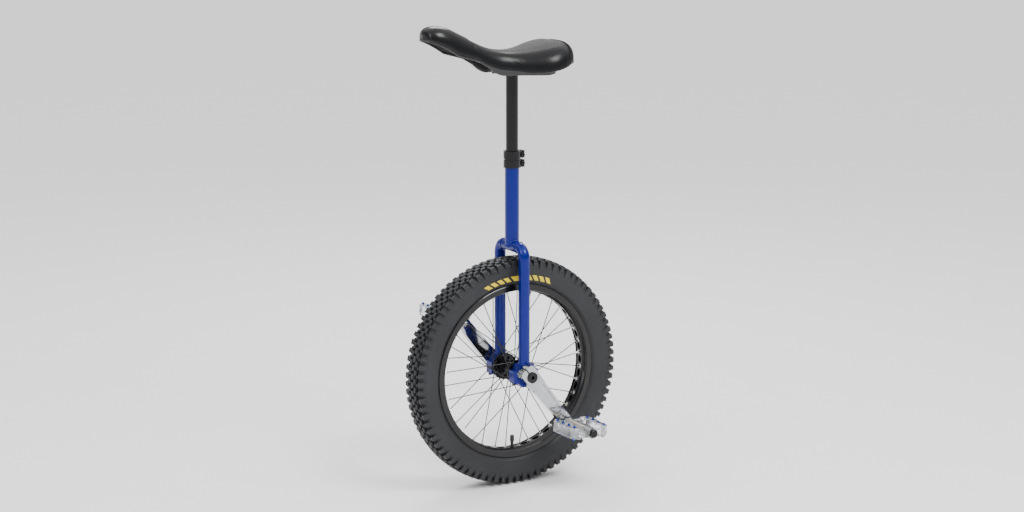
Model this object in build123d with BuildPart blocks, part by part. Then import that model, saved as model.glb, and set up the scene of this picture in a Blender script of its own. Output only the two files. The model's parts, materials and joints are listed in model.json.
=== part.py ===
"""A 19 inch trials unicycle, as separate pieces that come apart on a bench.

Frame: +X is forward, +Y is the rider's left, +Z is up, in millimetres. The origin is on the
ground, straight below the hub, so the wheel stands on the plane z = 0.
"""
import os
from math import cos, radians, sin

from build123d import *

os.makedirs("parts", exist_ok=True)

# ---------------------------------------------------------------- driving dimensions
# Fits and gaps
slide_fit = 0.05        # radial gap of a post in its tube
seat_fit = 0.02         # radial gap of a pressed or clamped seat
bolt_fit = 0.1          # radial gap of a screw in its hole
face_gap = 0.3          # gap between pieces that only lie against each other

# Tyre and tube
tyre_radius = 260.0
tyre_half_width = 33.0
tread_thickness = 9.0
sidewall_thickness = 2.6
bead_height = 6.0
tube_radius = 22.0
tube_wall = 1.2

# Rim
bead_seat_radius = 193.5
rim_half_width = 23.5
rim_wall = 2.9
rim_flange_height = 6.0
rim_ledge_drop = 5.5
rim_well_drop = 9.5
rim_well_wall = 2.5
rim_well_half_width = 9.5
rim_side_drop = 7.5
strip_thickness = 0.8
spoke_count = 36
lightening_hole_length = 17.0
lightening_hole_width = 11.0
spoke_stagger = 3.0     # spoke holes lie this far left and right of the rim's middle

# Spokes, nipples and eyelets
spoke_radius = 1.0
spoke_head_radius = 1.9
spoke_head_length = 0.9
spoke_elbow_radius = 1.8
spoke_flange_run = 20.0     # outside spokes stay beside the flange this far
spoke_bend_radius = 40.0
crossings = 3
nipple_radius = 2.0
nipple_length = 12.0
nipple_head_radius = 2.5
nipple_seat_lift = 2.1      # height of the head's underside over the rim point
nipple_bore_lift = 0.02     # where the spoke's bore in the nipple starts
nipple_head_length = 1.5
eyelet_radius = 4.0
eyelet_thickness = 0.8
eyelet_tube_radius = 3.2
eyelet_tube_wall = 0.6
eyelet_seat_gap = 0.1

# Valve
valve_radius = 3.65
valve_length = 22.0
valve_foot_radius = 9.0
valve_cap_radius = 4.85
valve_cap_length = 14.0
valve_cap_wall = 1.0

# Hub, spindle and bearings
flange_offset = 32.5
flange_thickness = 3.2
flange_radius = 30.5
spoke_circle_radius = 27.0
flange_window_radius = 3.6
flange_window_circle = 20.2
flange_windows = 9
barrel_radius = 14.0
barrel_end_radius = 15.5
spindle_radius = 11.0
spindle_bore = 8.5
bearing_outer_radius = 21.0
bearing_width = 12.0
bearing_offset = 52.0
race_shoulder_gap = 2.2     # half of the gap between the two rings of a bearing
ball_radius = 2.75
ball_count = 11
ball_gap = 0.05
cage_thickness = 1.2
cage_half_width = 3.4
seal_thickness = 0.6

# Frame
leg_radius = 12.7
leg_wall = 1.65
crown_bend_radius = 22.0
crown_tyre_gap = 11.3
seat_tube_radius = 15.9
seat_tube_top = 754.0
housing_half_length = 31.0
housing_half_width = 14.0
housing_chamfer = 5.0
housing_lug_height = 11.0
housing_top = 24.0
housing_top_half_length = 17.0
housing_shoulder_half_length = 22.0
housing_lip_bore = 18.5
cap_lug_depth = 16.0
cap_bottom = 26.0
cap_bottom_half_length = 13.0
cap_shoulder_half_length = 21.5
cap_bolt_offset = 26.5
cap_bolt_radius = 2.5
cap_bolt_head_radius = 4.25
cap_bolt_head_length = 5.0
cap_bolt_reach = 9.0

# Seat clamp and post
clamp_height = 37.0
clamp_wall = 3.2
clamp_groove_height = 4.0
clamp_groove_depth = 1.6
clamp_lug_length = 12.0
clamp_lug_width = 15.0
clamp_slot = 2.5
clamp_bolt_radius = 2.5
clamp_bolt_head_radius = 4.2
clamp_bolt_head_length = 4.0
tube_slot_length = 38.0
post_radius = 13.6
post_wall = 2.2
post_length = 300.0
post_top = 932.0

# Cranks
crank_angle = 51.2          # degrees below the horizontal, towards the rear, on the left side
crank_length = 150.0
short_crank_length = 127.0
crank_inner_face = 68.0
crank_outer_face = 88.0
crank_boss_half_width = 18.5
crank_boss_end = 25.0
crank_boss_corner = 8.0
crank_neck_half_width = 15.8
crank_end_half_width = 13.0
crank_arm_thickness = 14.0
crank_recess_depth = 2.2
crank_slot = 3.0
pinch_bolt_setback = 18.5
pinch_bolt_offset = 5.0
pinch_bolt_radius = 2.5
pinch_bolt_head_radius = 4.25
pinch_bolt_head_length = 4.2
pedal_thread_radius = 7.1
preload_cap_radius = 12.5
preload_cap_thickness = 2.2
preload_cap_stem = 10.0

# Pedals
pedal_tilt = 3.5            # degrees, front edge up
pedal_half_length = 48.0
pedal_inner_end = 94.0
pedal_outer_end = 190.0
pedal_half_thickness = 12.0
pedal_web_half_thickness = 8.0
pedal_bar_width = 19.0
pedal_inner_chamfer = 10.0
pedal_outer_chamfer = 22.0
pedal_window_margin = 24.0
pedal_boss_radius = 11.5
pedal_bore = 9.0
pedal_end_cap_radius = 8.0
pedal_end_cap_length = 7.5
pedal_bushing_length = 60.0
pedal_axle_radius = 6.0
pedal_axle_collar_radius = 9.5
pedal_axle_collar_length = 4.5
pedal_axle_end_radius = 4.0
pedal_nut_radius = 7.5
pedal_nut_length = 5.0
pin_row_offset = 39.0
pin_first = 106.0
pin_pitch = 22.7
pins_per_row = 4
pin_radius = 2.0
pin_hex_radius = 3.6
pin_hex_length = 2.0
pin_height = 4.6
pin_depth = 5.0

# Saddle: stations from the rear to the nose give x, half width, skirt height and top height
saddle_stations = [
    (-104.0, 80.0, 940.0, 999.0),
    (-85.0, 87.0, 935.0, 1000.0),
    (-45.0, 84.0, 928.0, 991.0),
    (0.0, 60.0, 928.0, 983.0),
    (45.0, 44.0, 934.0, 985.0),
    (90.0, 39.0, 951.0, 998.0),
    (127.0, 38.0, 968.0, 1015.0),
]
handle_stations = [
    (127.6, 37.0, 963.0, 1014.0),
    (160.0, 38.0, 981.0, 1032.0),
    (195.0, 35.0, 1000.0, 1040.0),
    (214.0, 27.0, 1008.0, 1035.0),
    (222.0, 14.0, 1013.0, 1025.0),
]
bumper_stations = [
    (-104.6, 80.0, 941.0, 998.5),
    (-118.0, 67.0, 945.0, 995.0),
    (-128.0, 48.0, 950.0, 988.0),
    (-132.0, 30.0, 955.0, 982.0),
]
handle_wall = 8.0
handle_roof = 17.0
bumper_wall = 6.0
bumper_roof = 12.0
saddle_skirt_wall = 7.0
saddle_cavity_depth = 14.0
saddle_base_thickness = 5.0
saddle_corner = 10.0
plate_half_length = 45.0
plate_half_width = 26.0
plate_thickness = 4.0
saddle_bolt_spacing_x = 70.0
saddle_bolt_spacing_y = 36.0
saddle_bolt_radius = 3.0
saddle_bolt_head_radius = 5.0
saddle_bolt_head_length = 4.0

# ---------------------------------------------------------------- places worked out from them
axle_height = tyre_radius
axle = Vector(0, 0, axle_height)
wheel_axis = Axis(axle, (0, 1, 0))
wheel_section = Plane(origin=axle, x_dir=(0, 0, 1), z_dir=(-1, 0, 0))   # x = radius, y = +Y
sides = {"left": 1, "right": -1}
crown_height = tyre_radius * 2 + crown_tyre_gap + leg_radius
rim_bed_radius = bead_seat_radius - rim_well_drop
rim_bore_radius = rim_bed_radius - rim_well_wall
rim_ledge_radius = bead_seat_radius - rim_ledge_drop
rim_edge_radius = bead_seat_radius + rim_flange_height
rim_pitch = 360 / spoke_count
crank_arm = Vector(-cos(radians(crank_angle)), 0, -sin(radians(crank_angle)))


def radial_plane(angle, radius, side_offset=0.0):
    """Plane that faces away from the axle at a wheel angle, counted from +X towards +Z."""
    outward = Vector(cos(radians(angle)), 0, sin(radians(angle)))
    origin = axle + outward * radius + Vector(0, side_offset, 0)
    return Plane(origin=origin, x_dir=(0, 1, 0), z_dir=outward)


def side_plane(side, offset):
    """Plane across the axle at a distance from the middle, facing outboard."""
    return Plane(origin=axle + Vector(0, side * offset, 0), x_dir=(side, 0, 0), z_dir=(0, side, 0))


def around_axle(profile_points, mirrored=True):
    """Ring turned about the axle from points given as radius and distance from the middle."""
    with BuildPart() as ring:
        with BuildSketch(wheel_section):
            with BuildLine():
                Polyline(*profile_points, close=True)
            make_face()
            if mirrored:
                mirror(about=Plane.XZ)
        revolve(axis=wheel_axis)
    return ring.part


def turned_ring(inner, outer, side, low, high):
    """Plain ring about the axle between two radii and two distances outboard."""
    return around_axle(
        [(inner, side * low), (outer, side * low), (outer, side * high), (inner, side * high)],
        mirrored=False,
    )


def save(part, name):
    part.label = name
    export_step(part, f"parts/{name}.step")


# ---------------------------------------------------------------- tyre, tube and rim
bead_outer = rim_half_width - rim_wall - 0.1
bead_inner = bead_outer - 5.5
shoulder_radius = tyre_radius - 11.0

with BuildPart() as tyre:
    with BuildSketch(wheel_section):
        with BuildLine():
            outer_bead = (bead_seat_radius + 0.1, bead_outer)
            lip = (rim_edge_radius + 0.3, bead_outer)
            flank = (rim_edge_radius + 4.0, rim_half_width)
            shoulder = (shoulder_radius, tyre_half_width)
            crown_edge = (tyre_radius - 2.5, tyre_half_width * 0.68)
            crown_flat = (tyre_radius, tyre_half_width * 0.25)
            Polyline(outer_bead, lip, flank)
            ThreePointArc(flank, ((flank[0] + shoulder[0]) / 2 - 4, tyre_half_width - 2.0), shoulder)
            Polyline(shoulder, crown_edge, crown_flat, (tyre_radius, 0))
            inner_crown = (tyre_radius - tread_thickness, 0)
            inner_shoulder = (shoulder_radius - 4, tyre_half_width - sidewall_thickness - 5)
            inner_flank = (rim_edge_radius + bead_height, bead_inner + 4)
            toe = (bead_seat_radius + 0.1, bead_inner)
            Line((tyre_radius, 0), inner_crown)
            ThreePointArc(inner_crown, (tyre_radius - tread_thickness - 2.5, 16), inner_shoulder)
            inner_bulge = (tyre_radius - 32, tyre_half_width - sidewall_thickness - 1)
            ThreePointArc(inner_shoulder, inner_bulge, inner_flank)
            Polyline(inner_flank, toe, outer_bead)
        make_face()
        mirror(about=Plane.XZ)
    revolve(axis=wheel_axis)
save(tyre.part, "tyre")

tube_centre = tyre_radius - tread_thickness - tube_radius - 4.0
with BuildPart() as inner_tube:
    with BuildSketch(wheel_section):
        with Locations((tube_centre, 0)):
            Circle(tube_radius)
            Circle(tube_radius - tube_wall, mode=Mode.SUBTRACT)
    revolve(axis=wheel_axis)
save(inner_tube.part, "inner_tube")

well = rim_well_half_width
with BuildPart() as rim:
    add(around_axle([
        (rim_bore_radius, 0),
        (rim_bore_radius, well - 1.5),
        (rim_bore_radius + 3.0, well + 2.5),
        (rim_bore_radius + 6.0, well + 6.0),
        (rim_bore_radius + 6.0, rim_half_width - 5.0),
        (bead_seat_radius - rim_side_drop - 0.8, rim_half_width - 1.5),
        (bead_seat_radius - rim_side_drop, rim_half_width),
        (rim_edge_radius - 1.4, rim_half_width),
        (rim_edge_radius, rim_half_width - 0.9),
        (rim_edge_radius, rim_half_width - 2.1),
        (rim_edge_radius - 1.4, rim_half_width - rim_wall),
        (bead_seat_radius, rim_half_width - rim_wall),
        (bead_seat_radius, well + 5.0),
        (bead_seat_radius - 2.0, well + 4.1),
        (rim_ledge_radius, well + 3.5),
        (rim_ledge_radius, well + 1.0),
        (rim_bed_radius, well),
        (rim_bed_radius, 0),
    ]))
    spoke_planes = [
        radial_plane(rim_pitch * (hole + 0.5), rim_bore_radius - 2, spoke_stagger * (-1) ** hole)
        for hole in range(spoke_count)
    ]
    with BuildSketch(*spoke_planes):
        Circle(eyelet_tube_radius + seat_fit)
    extrude(amount=rim_well_wall + 6, mode=Mode.SUBTRACT)
    valve_angle = 270.0
    light_planes = [
        radial_plane(rim_pitch * hole, rim_bore_radius - 2)
        for hole in range(spoke_count)
        if rim_pitch * hole != valve_angle
    ]
    with BuildSketch(*light_planes):
        SlotOverall(lightening_hole_length, lightening_hole_width, rotation=90)
    extrude(amount=rim_well_wall + 6, mode=Mode.SUBTRACT)
    with BuildSketch(radial_plane(valve_angle, rim_bore_radius - 2)):
        Circle(valve_radius + bolt_fit)
    extrude(amount=rim_well_wall + 6, mode=Mode.SUBTRACT)
save(rim.part, "rim")

strip_bore = rim_ledge_radius + seat_fit
strip_half_width = well + 3.3
with BuildPart() as rim_strip:
    add(around_axle([
        (strip_bore, 0),
        (strip_bore, strip_half_width),
        (strip_bore + strip_thickness, strip_half_width),
        (strip_bore + strip_thickness, 0),
    ]))
    with BuildSketch(radial_plane(valve_angle, strip_bore - 2)):
        Circle(valve_radius + bolt_fit)
    extrude(amount=strip_thickness + 6, mode=Mode.SUBTRACT)
save(rim_strip.part, "rim_strip")

# ---------------------------------------------------------------- eyelets, spokes and nipples
with BuildPart() as rim_eyelets:
    for hole in range(spoke_count):
        stagger = spoke_stagger * (-1) ** hole
        seat = radial_plane(rim_pitch * (hole + 0.5), rim_bore_radius - eyelet_seat_gap, stagger)
        with BuildSketch(seat):
            Circle(eyelet_radius)
            Circle(eyelet_tube_radius - eyelet_tube_wall, mode=Mode.SUBTRACT)
        extrude(amount=-eyelet_thickness)
        with BuildSketch(seat):
            Circle(eyelet_tube_radius)
            Circle(eyelet_tube_radius - eyelet_tube_wall, mode=Mode.SUBTRACT)
        extrude(amount=rim_well_wall + eyelet_seat_gap)
save(rim_eyelets.part, "rim_eyelets")

nipple_seat_radius = rim_bore_radius + rim_well_wall / 2
spoke_offset_from_flange = flange_thickness / 2 + 0.25 + spoke_radius


def wheel_point(radius, angle, offset):
    return axle + Vector(radius * cos(radians(angle)), offset, radius * sin(radians(angle)))


def lace(side, leading):
    """Bends and ends of one spoke: head, elbow, bend (outside spokes only) and rim point.

    The flange hole is three crossings round from the rim hole. Leading spokes lie outside the
    flange, run beside it past its edge, and then bend in to the rim.
    """
    turn = crossings * 2 * rim_pitch
    flange_angle = rim_pitch * (0.5 + (0 if leading else 2) + (0 if side > 0 else 1))
    rim_angle = flange_angle + (turn if leading else -turn)
    outside = 1 if leading else -1
    inner_face = side * (flange_offset - outside * (flange_thickness / 2 + spoke_head_length))
    elbow_face = side * (flange_offset + outside * spoke_offset_from_flange)
    head = wheel_point(spoke_circle_radius, flange_angle, inner_face)
    elbow = wheel_point(spoke_circle_radius, flange_angle, elbow_face)
    rim_point = wheel_point(nipple_seat_radius, rim_angle, side * spoke_stagger)
    if not leading:
        return head, [elbow], rim_point
    along = Vector(rim_point.X - elbow.X, 0, rim_point.Z - elbow.Z).normalized()
    return head, [elbow, elbow + along * spoke_flange_run], rim_point


def one_spoke(side, leading):
    head, bends, rim_point = lace(side, leading)
    radii = [spoke_elbow_radius, spoke_bend_radius][: len(bends)]
    head_plane = Plane(origin=head, z_dir=bends[0] - head)
    with BuildPart() as spoke:
        with BuildLine() as run:
            FilletPolyline(head, *bends, rim_point, radius=radii)
        with BuildSketch(head_plane):
            Circle(spoke_radius)
        sweep(path=run.wire())
        with BuildSketch(head_plane):
            Circle(spoke_head_radius)
        extrude(amount=spoke_head_length)
    return spoke.part


def one_nipple(side, leading):
    _, bends, rim_point = lace(side, leading)
    outward = (rim_point - bends[-1]).normalized()
    with BuildPart() as nipple:
        with BuildSketch(Plane(origin=rim_point + outward * nipple_seat_lift, z_dir=outward)):
            Circle(nipple_radius)
        extrude(amount=-nipple_length)
        with BuildSketch(Plane(origin=rim_point + outward * nipple_seat_lift, z_dir=outward)):
            Circle(nipple_head_radius)
        extrude(amount=nipple_head_length)
        with BuildSketch(Plane(origin=rim_point + outward * nipple_bore_lift, z_dir=outward)):
            Circle(spoke_radius + slide_fit)
        extrude(amount=-nipple_length, mode=Mode.SUBTRACT)
    return nipple.part


spokes_per_set = spoke_count // 4
set_pitch = 360 / spokes_per_set
for side_name, side in sides.items():
    for set_name, leading in (("leading", True), ("trailing", False)):
        spoke = one_spoke(side, leading)
        with BuildPart() as spokes:
            add([spoke.rotate(wheel_axis, set_pitch * turn) for turn in range(spokes_per_set)])
        save(spokes.part, f"spokes_{side_name}_{set_name}")

with BuildPart() as spoke_nipples:
    for side in sides.values():
        for leading in (True, False):
            nipple = one_nipple(side, leading)
            add([nipple.rotate(wheel_axis, set_pitch * turn) for turn in range(spokes_per_set)])
save(spoke_nipples.part, "spoke_nipples")

# ---------------------------------------------------------------- valve
tube_skin = tube_centre - tube_radius
with BuildPart() as valve_stem:
    with BuildSketch(radial_plane(valve_angle, tube_skin - 0.1)):
        Circle(valve_radius)
    extrude(amount=-(tube_skin - 0.1 - rim_bore_radius + valve_length))
    with BuildSketch(radial_plane(valve_angle, tube_skin - 0.1)):
        Circle(valve_foot_radius)
    extrude(amount=-1.0)
save(valve_stem.part, "valve_stem")

cap_root = rim_bore_radius - valve_length + valve_cap_length - 5.0
with BuildPart() as valve_cap:
    with BuildSketch(radial_plane(valve_angle, cap_root)):
        Circle(valve_cap_radius)
    extrude(amount=-valve_cap_length)
    with BuildSketch(radial_plane(valve_angle, cap_root)):
        Circle(valve_radius + slide_fit)
    extrude(amount=-(valve_cap_length - 5.0 + slide_fit), mode=Mode.SUBTRACT)
    chamfer(valve_cap.faces().sort_by(Axis.Z)[-1].edges(), valve_cap_wall / 2)
save(valve_cap.part, "valve_cap")

# ---------------------------------------------------------------- hub, spindle and spacers
bearing_inner_face = bearing_offset - bearing_width / 2
bearing_outer_face = bearing_offset + bearing_width / 2
inner_ring_radius = 16.0 - race_shoulder_gap + 0.2
flange_in = flange_offset - flange_thickness / 2
flange_out = flange_offset + flange_thickness / 2
with BuildPart() as hub_shell:
    add(around_axle([
        (spindle_radius + seat_fit, 0),
        (barrel_radius, 0),
        (barrel_radius, flange_in - 7),
        (barrel_end_radius, flange_in - 3),
        (barrel_end_radius, flange_in),
        (flange_radius, flange_in),
        (flange_radius, flange_out),
        (barrel_end_radius, flange_out),
        (barrel_end_radius, flange_out + 5),
        (inner_ring_radius - 0.4, flange_out + 8),
        (inner_ring_radius - 0.4, bearing_inner_face),
        (spindle_radius + seat_fit, bearing_inner_face),
    ]))
    for side in sides.values():
        with BuildSketch(side_plane(side, flange_in - 1)):
            first = rim_pitch * (0.5 + (0 if side > 0 else 1))
            start = -side * first
            with PolarLocations(spoke_circle_radius, spoke_count // 2, start_angle=start):
                Circle(spoke_radius + 0.25)
            with PolarLocations(flange_window_circle, flange_windows, start_angle=start):
                Circle(flange_window_radius)
        extrude(amount=flange_thickness + 2, mode=Mode.SUBTRACT)
save(hub_shell.part, "hub_shell")

spindle_end = crank_outer_face - 1.0
with BuildPart() as hub_spindle:
    add(around_axle([
        (spindle_bore, 0), (spindle_radius, 0), (spindle_radius, spindle_end), (spindle_bore, spindle_end)
    ]))
save(hub_spindle.part, "hub_spindle")

ball_circle = 16.0
outer_ring_bore = ball_circle + race_shoulder_gap
for side_name, side in sides.items():
    with BuildPart() as groove:
        with BuildSketch(wheel_section):
            with Locations((ball_circle, side * bearing_offset)):
                Circle(ball_radius + ball_gap)
        revolve(axis=wheel_axis)

    low, high = bearing_inner_face, bearing_outer_face
    with BuildPart() as outer_ring:
        add(turned_ring(outer_ring_bore, bearing_outer_radius, side, low, high))
        add(groove.part, mode=Mode.SUBTRACT)
    save(outer_ring.part, f"{side_name}_bearing_outer_ring")

    with BuildPart() as inner_ring:
        add(turned_ring(spindle_radius + seat_fit, inner_ring_radius, side, low, high))
        add(groove.part, mode=Mode.SUBTRACT)
    save(inner_ring.part, f"{side_name}_bearing_inner_ring")

    ball_places = [
        wheel_point(ball_circle, 360 / ball_count * ball, side * bearing_offset)
        for ball in range(ball_count)
    ]
    with BuildPart() as balls:
        with Locations(*ball_places):
            Sphere(ball_radius)
    save(balls.part, f"{side_name}_bearing_balls")

    with BuildPart() as cage:
        add(turned_ring(
            ball_circle - cage_thickness / 2, ball_circle + cage_thickness / 2, side,
            bearing_offset - cage_half_width, bearing_offset + cage_half_width,
        ))
        pocket_planes = [
            radial_plane(360 / ball_count * ball, ball_circle - 3, side * bearing_offset)
            for ball in range(ball_count)
        ]
        with BuildSketch(*pocket_planes):
            Circle(ball_radius + ball_gap)
        extrude(amount=6, mode=Mode.SUBTRACT)
    save(cage.part, f"{side_name}_bearing_cage")

    with BuildPart() as spacer:
        add(turned_ring(spindle_radius + seat_fit, barrel_radius, side, high, crank_inner_face))
    save(spacer.part, f"{side_name}_crank_spacer")

with BuildPart() as bearing_seals:
    for side in sides.values():
        for face in (bearing_inner_face + 0.2, bearing_outer_face - 0.2 - seal_thickness):
            inner = inner_ring_radius + ball_gap
            add(turned_ring(inner, outer_ring_bore - seat_fit, side, face, face + seal_thickness))
save(bearing_seals.part, "bearing_seals")

# ---------------------------------------------------------------- bearing housings and caps
split_gap = face_gap / 2
housing_outline = [
    (-housing_half_length, split_gap),
    (-housing_half_length, housing_lug_height),
    (-housing_shoulder_half_length, housing_lug_height),
    (-housing_top_half_length, housing_top),
    (housing_top_half_length, housing_top),
    (housing_shoulder_half_length, housing_lug_height),
    (housing_half_length, housing_lug_height),
    (housing_half_length, split_gap),
]
cap_outline = [
    (-housing_half_length, -split_gap),
    (-housing_half_length, -cap_lug_depth),
    (-cap_shoulder_half_length, -cap_lug_depth),
    (-cap_bottom_half_length, -cap_bottom),
    (cap_bottom_half_length, -cap_bottom),
    (cap_shoulder_half_length, -cap_lug_depth),
    (housing_half_length, -cap_lug_depth),
    (housing_half_length, -split_gap),
]


def bearing_block(side, outline, bolt_depth):
    """Half of the block around a bearing, with its lips, seat and two bolt holes."""
    inner_plane = Plane(
        origin=axle + Vector(0, side * bearing_offset, 0), x_dir=(1, 0, 0), z_dir=(0, -1, 0)
    )
    with BuildPart() as block:
        with BuildSketch(inner_plane):
            with BuildLine():
                Polyline(*outline, close=True)
            make_face()
        extrude(amount=housing_half_width, both=True)
        outboard = block.edges().filter_by(Axis.Z).group_by(Axis.Y)[-1 if side > 0 else 0]
        chamfer(outboard, housing_chamfer)
        with BuildSketch(inner_plane):
            Circle(bearing_outer_radius + seat_fit)
        extrude(amount=bearing_width / 2 + seat_fit, both=True, mode=Mode.SUBTRACT)
        with BuildSketch(inner_plane):
            Circle(housing_lip_bore)
        extrude(amount=housing_half_width, both=True, mode=Mode.SUBTRACT)
        with BuildSketch(Plane(origin=axle + Vector(0, side * bearing_offset, -cap_lug_depth))):
            with Locations((-cap_bolt_offset, 0), (cap_bolt_offset, 0)):
                Circle(cap_bolt_radius + bolt_fit)
        extrude(amount=bolt_depth, mode=Mode.SUBTRACT)
    return block.part


for side_name, side in sides.items():
    housing_bolt_depth = cap_lug_depth + cap_bolt_reach + 0.5
    save(bearing_block(side, housing_outline, housing_bolt_depth), f"{side_name}_bearing_housing")
    save(bearing_block(side, cap_outline, cap_lug_depth), f"{side_name}_bearing_cap")

with BuildPart() as bearing_cap_bolts:
    bolt_seat = Plane(origin=axle + Vector(0, 0, -cap_lug_depth))
    bolt_places = [
        (x * cap_bolt_offset, side * bearing_offset) for side in sides.values() for x in (-1, 1)
    ]
    with BuildSketch(bolt_seat):
        with Locations(*bolt_places):
            Circle(cap_bolt_head_radius)
    extrude(amount=-cap_bolt_head_length)
    with BuildSketch(bolt_seat):
        with Locations(*bolt_places):
            Circle(cap_bolt_radius)
    extrude(amount=cap_lug_depth + cap_bolt_reach)
    with BuildSketch(bolt_seat.offset(-cap_bolt_head_length)):
        with Locations(*bolt_places):
            RegularPolygon(cap_bolt_radius * 0.9, 6)
    extrude(amount=2.5, mode=Mode.SUBTRACT)
save(bearing_cap_bolts.part, "bearing_cap_bolts")

# ---------------------------------------------------------------- fork and seat tube
crown_half_length = bearing_offset - crown_bend_radius
leg_bottom = axle_height + housing_top
for side_name, side in sides.items():
    with BuildPart() as leg:
        with BuildLine() as leg_line:
            corner = (0, side * bearing_offset, crown_height)
            foot = (0, side * bearing_offset, leg_bottom)
            FilletPolyline(foot, corner, (0, side * crown_half_length, crown_height),
                           radius=crown_bend_radius - 0.01)
        with BuildSketch(Plane(origin=foot)):
            Circle(leg_radius)
            Circle(leg_radius - leg_wall, mode=Mode.SUBTRACT)
        sweep(path=leg_line.wire())
    save(leg.part, f"{side_name}_fork_leg")

crown_axis_plane = Plane(origin=(0, 0, crown_height), x_dir=(1, 0, 0), z_dir=(0, 1, 0))
with BuildPart() as frame_crown:
    with BuildSketch(crown_axis_plane):
        Circle(leg_radius)
        Circle(leg_radius - leg_wall, mode=Mode.SUBTRACT)
    extrude(amount=crown_half_length, both=True)
save(frame_crown.part, "frame_crown")

seat_bore = post_radius + slide_fit
with BuildPart() as frame_seat_tube:
    with BuildSketch(Plane.XY.offset(crown_height - 2)):
        Circle(seat_tube_radius)
        Circle(seat_bore, mode=Mode.SUBTRACT)
    extrude(amount=seat_tube_top - crown_height + 2)
    with BuildSketch(crown_axis_plane):
        Circle(leg_radius)
    extrude(amount=crown_half_length, both=True, mode=Mode.SUBTRACT)
    with BuildSketch(Plane.XY.offset(seat_tube_top)):
        with Locations((-seat_tube_radius, 0)):
            Rectangle(seat_tube_radius, clamp_slot)
    extrude(amount=-tube_slot_length, mode=Mode.SUBTRACT)
save(frame_seat_tube.part, "frame_seat_tube")

# ---------------------------------------------------------------- seat clamp
clamp_overhang = 3.0
clamp_bottom = seat_tube_top - clamp_height + clamp_overhang
clamp_top = seat_tube_top + clamp_overhang
clamp_outer = seat_tube_radius + clamp_wall
lug_end = -(clamp_outer + clamp_lug_length - 3)
clamp_bolt_heights = [clamp_bottom + clamp_height * share for share in (0.25, 0.75)]
with BuildPart() as seat_clamp:
    with BuildSketch(Plane.XY.offset(clamp_bottom)):
        Circle(clamp_outer)
        with Locations(((lug_end - seat_tube_radius) / 2, 0)):
            Rectangle(-lug_end - seat_tube_radius, clamp_lug_width)
        Circle(seat_tube_radius + seat_fit, mode=Mode.SUBTRACT)
    extrude(amount=clamp_height - clamp_overhang)
    with BuildSketch(Plane.XY.offset(clamp_top - clamp_overhang)):
        Circle(clamp_outer)
        with Locations(((lug_end - seat_tube_radius) / 2, 0)):
            Rectangle(-lug_end - seat_tube_radius, clamp_lug_width)
        Circle(post_radius + 4 * slide_fit, mode=Mode.SUBTRACT)
    extrude(amount=clamp_overhang)
    with BuildSketch(Plane.XY.offset(clamp_bottom)):
        with Locations(((lug_end - post_radius) / 2, 0)):
            Rectangle(-lug_end - post_radius + 6, clamp_slot)
    extrude(amount=clamp_height, mode=Mode.SUBTRACT)
    with BuildSketch(Plane.XY.offset(clamp_bottom + (clamp_height - clamp_groove_height) / 2)):
        Rectangle(120, 120)
        Circle(clamp_outer - clamp_groove_depth, mode=Mode.SUBTRACT)
    extrude(amount=clamp_groove_height, mode=Mode.SUBTRACT)
    clamp_bolt_x = lug_end + 5.5
    bolt_line = Plane(origin=(clamp_bolt_x, 0, 0), x_dir=(1, 0, 0), z_dir=(0, -1, 0))
    with BuildSketch(bolt_line):
        with Locations(*[(0, height) for height in clamp_bolt_heights]):
            Circle(clamp_bolt_radius + bolt_fit)
    extrude(amount=clamp_lug_width, both=True, mode=Mode.SUBTRACT)
save(seat_clamp.part, "seat_clamp")

with BuildPart() as seat_clamp_bolts:
    with BuildSketch(bolt_line):
        with Locations(*[(0, height) for height in clamp_bolt_heights]):
            Circle(clamp_bolt_radius)
    extrude(amount=clamp_lug_width / 2, both=True)
    with BuildSketch(bolt_line.offset(-clamp_lug_width / 2)):
        with Locations(*[(0, height) for height in clamp_bolt_heights]):
            Circle(clamp_bolt_head_radius)
            RegularPolygon(clamp_bolt_radius * 0.9, 6, mode=Mode.SUBTRACT)
    extrude(amount=-clamp_bolt_head_length)
save(seat_clamp_bolts.part, "seat_clamp_bolts")

# ---------------------------------------------------------------- seat post
with BuildPart() as seat_post:
    with BuildSketch(Plane.XY.offset(post_top)):
        Circle(post_radius)
        Circle(post_radius - post_wall, mode=Mode.SUBTRACT)
    extrude(amount=-post_length)
save(seat_post.part, "seat_post")

saddle_bolt_grid = [
    (x * saddle_bolt_spacing_x / 2, y * saddle_bolt_spacing_y / 2) for x in (-1, 1) for y in (-1, 1)
]
with BuildPart() as seat_post_plate:
    with BuildSketch(Plane.XY.offset(post_top)):
        RectangleRounded(plate_half_length * 2, plate_half_width * 2, saddle_corner)
        with Locations(*saddle_bolt_grid):
            Circle(saddle_bolt_radius + bolt_fit, mode=Mode.SUBTRACT)
    extrude(amount=plate_thickness)
save(seat_post_plate.part, "seat_post_plate")

# ---------------------------------------------------------------- saddle


def station_sketch(x, half_width, bottom, top, corner):
    """Rectangle across the saddle at one station, with rounded corners unless corner is 0."""
    across = Plane(origin=(x, 0, (bottom + top) / 2), x_dir=(0, 1, 0), z_dir=(1, 0, 0))
    with BuildSketch(across) as outline:
        if corner == 0:
            Rectangle(2 * half_width, top - bottom)
        else:
            radius = min(corner, half_width * 0.9, (top - bottom) * 0.45)
            RectangleRounded(2 * half_width, top - bottom, radius)
    return outline.sketch


def lofted(stations, corner, ruled=False):
    with BuildPart() as body:
        loft([station_sketch(*station, corner) for station in stations], ruled=ruled)
    return body.part


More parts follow.
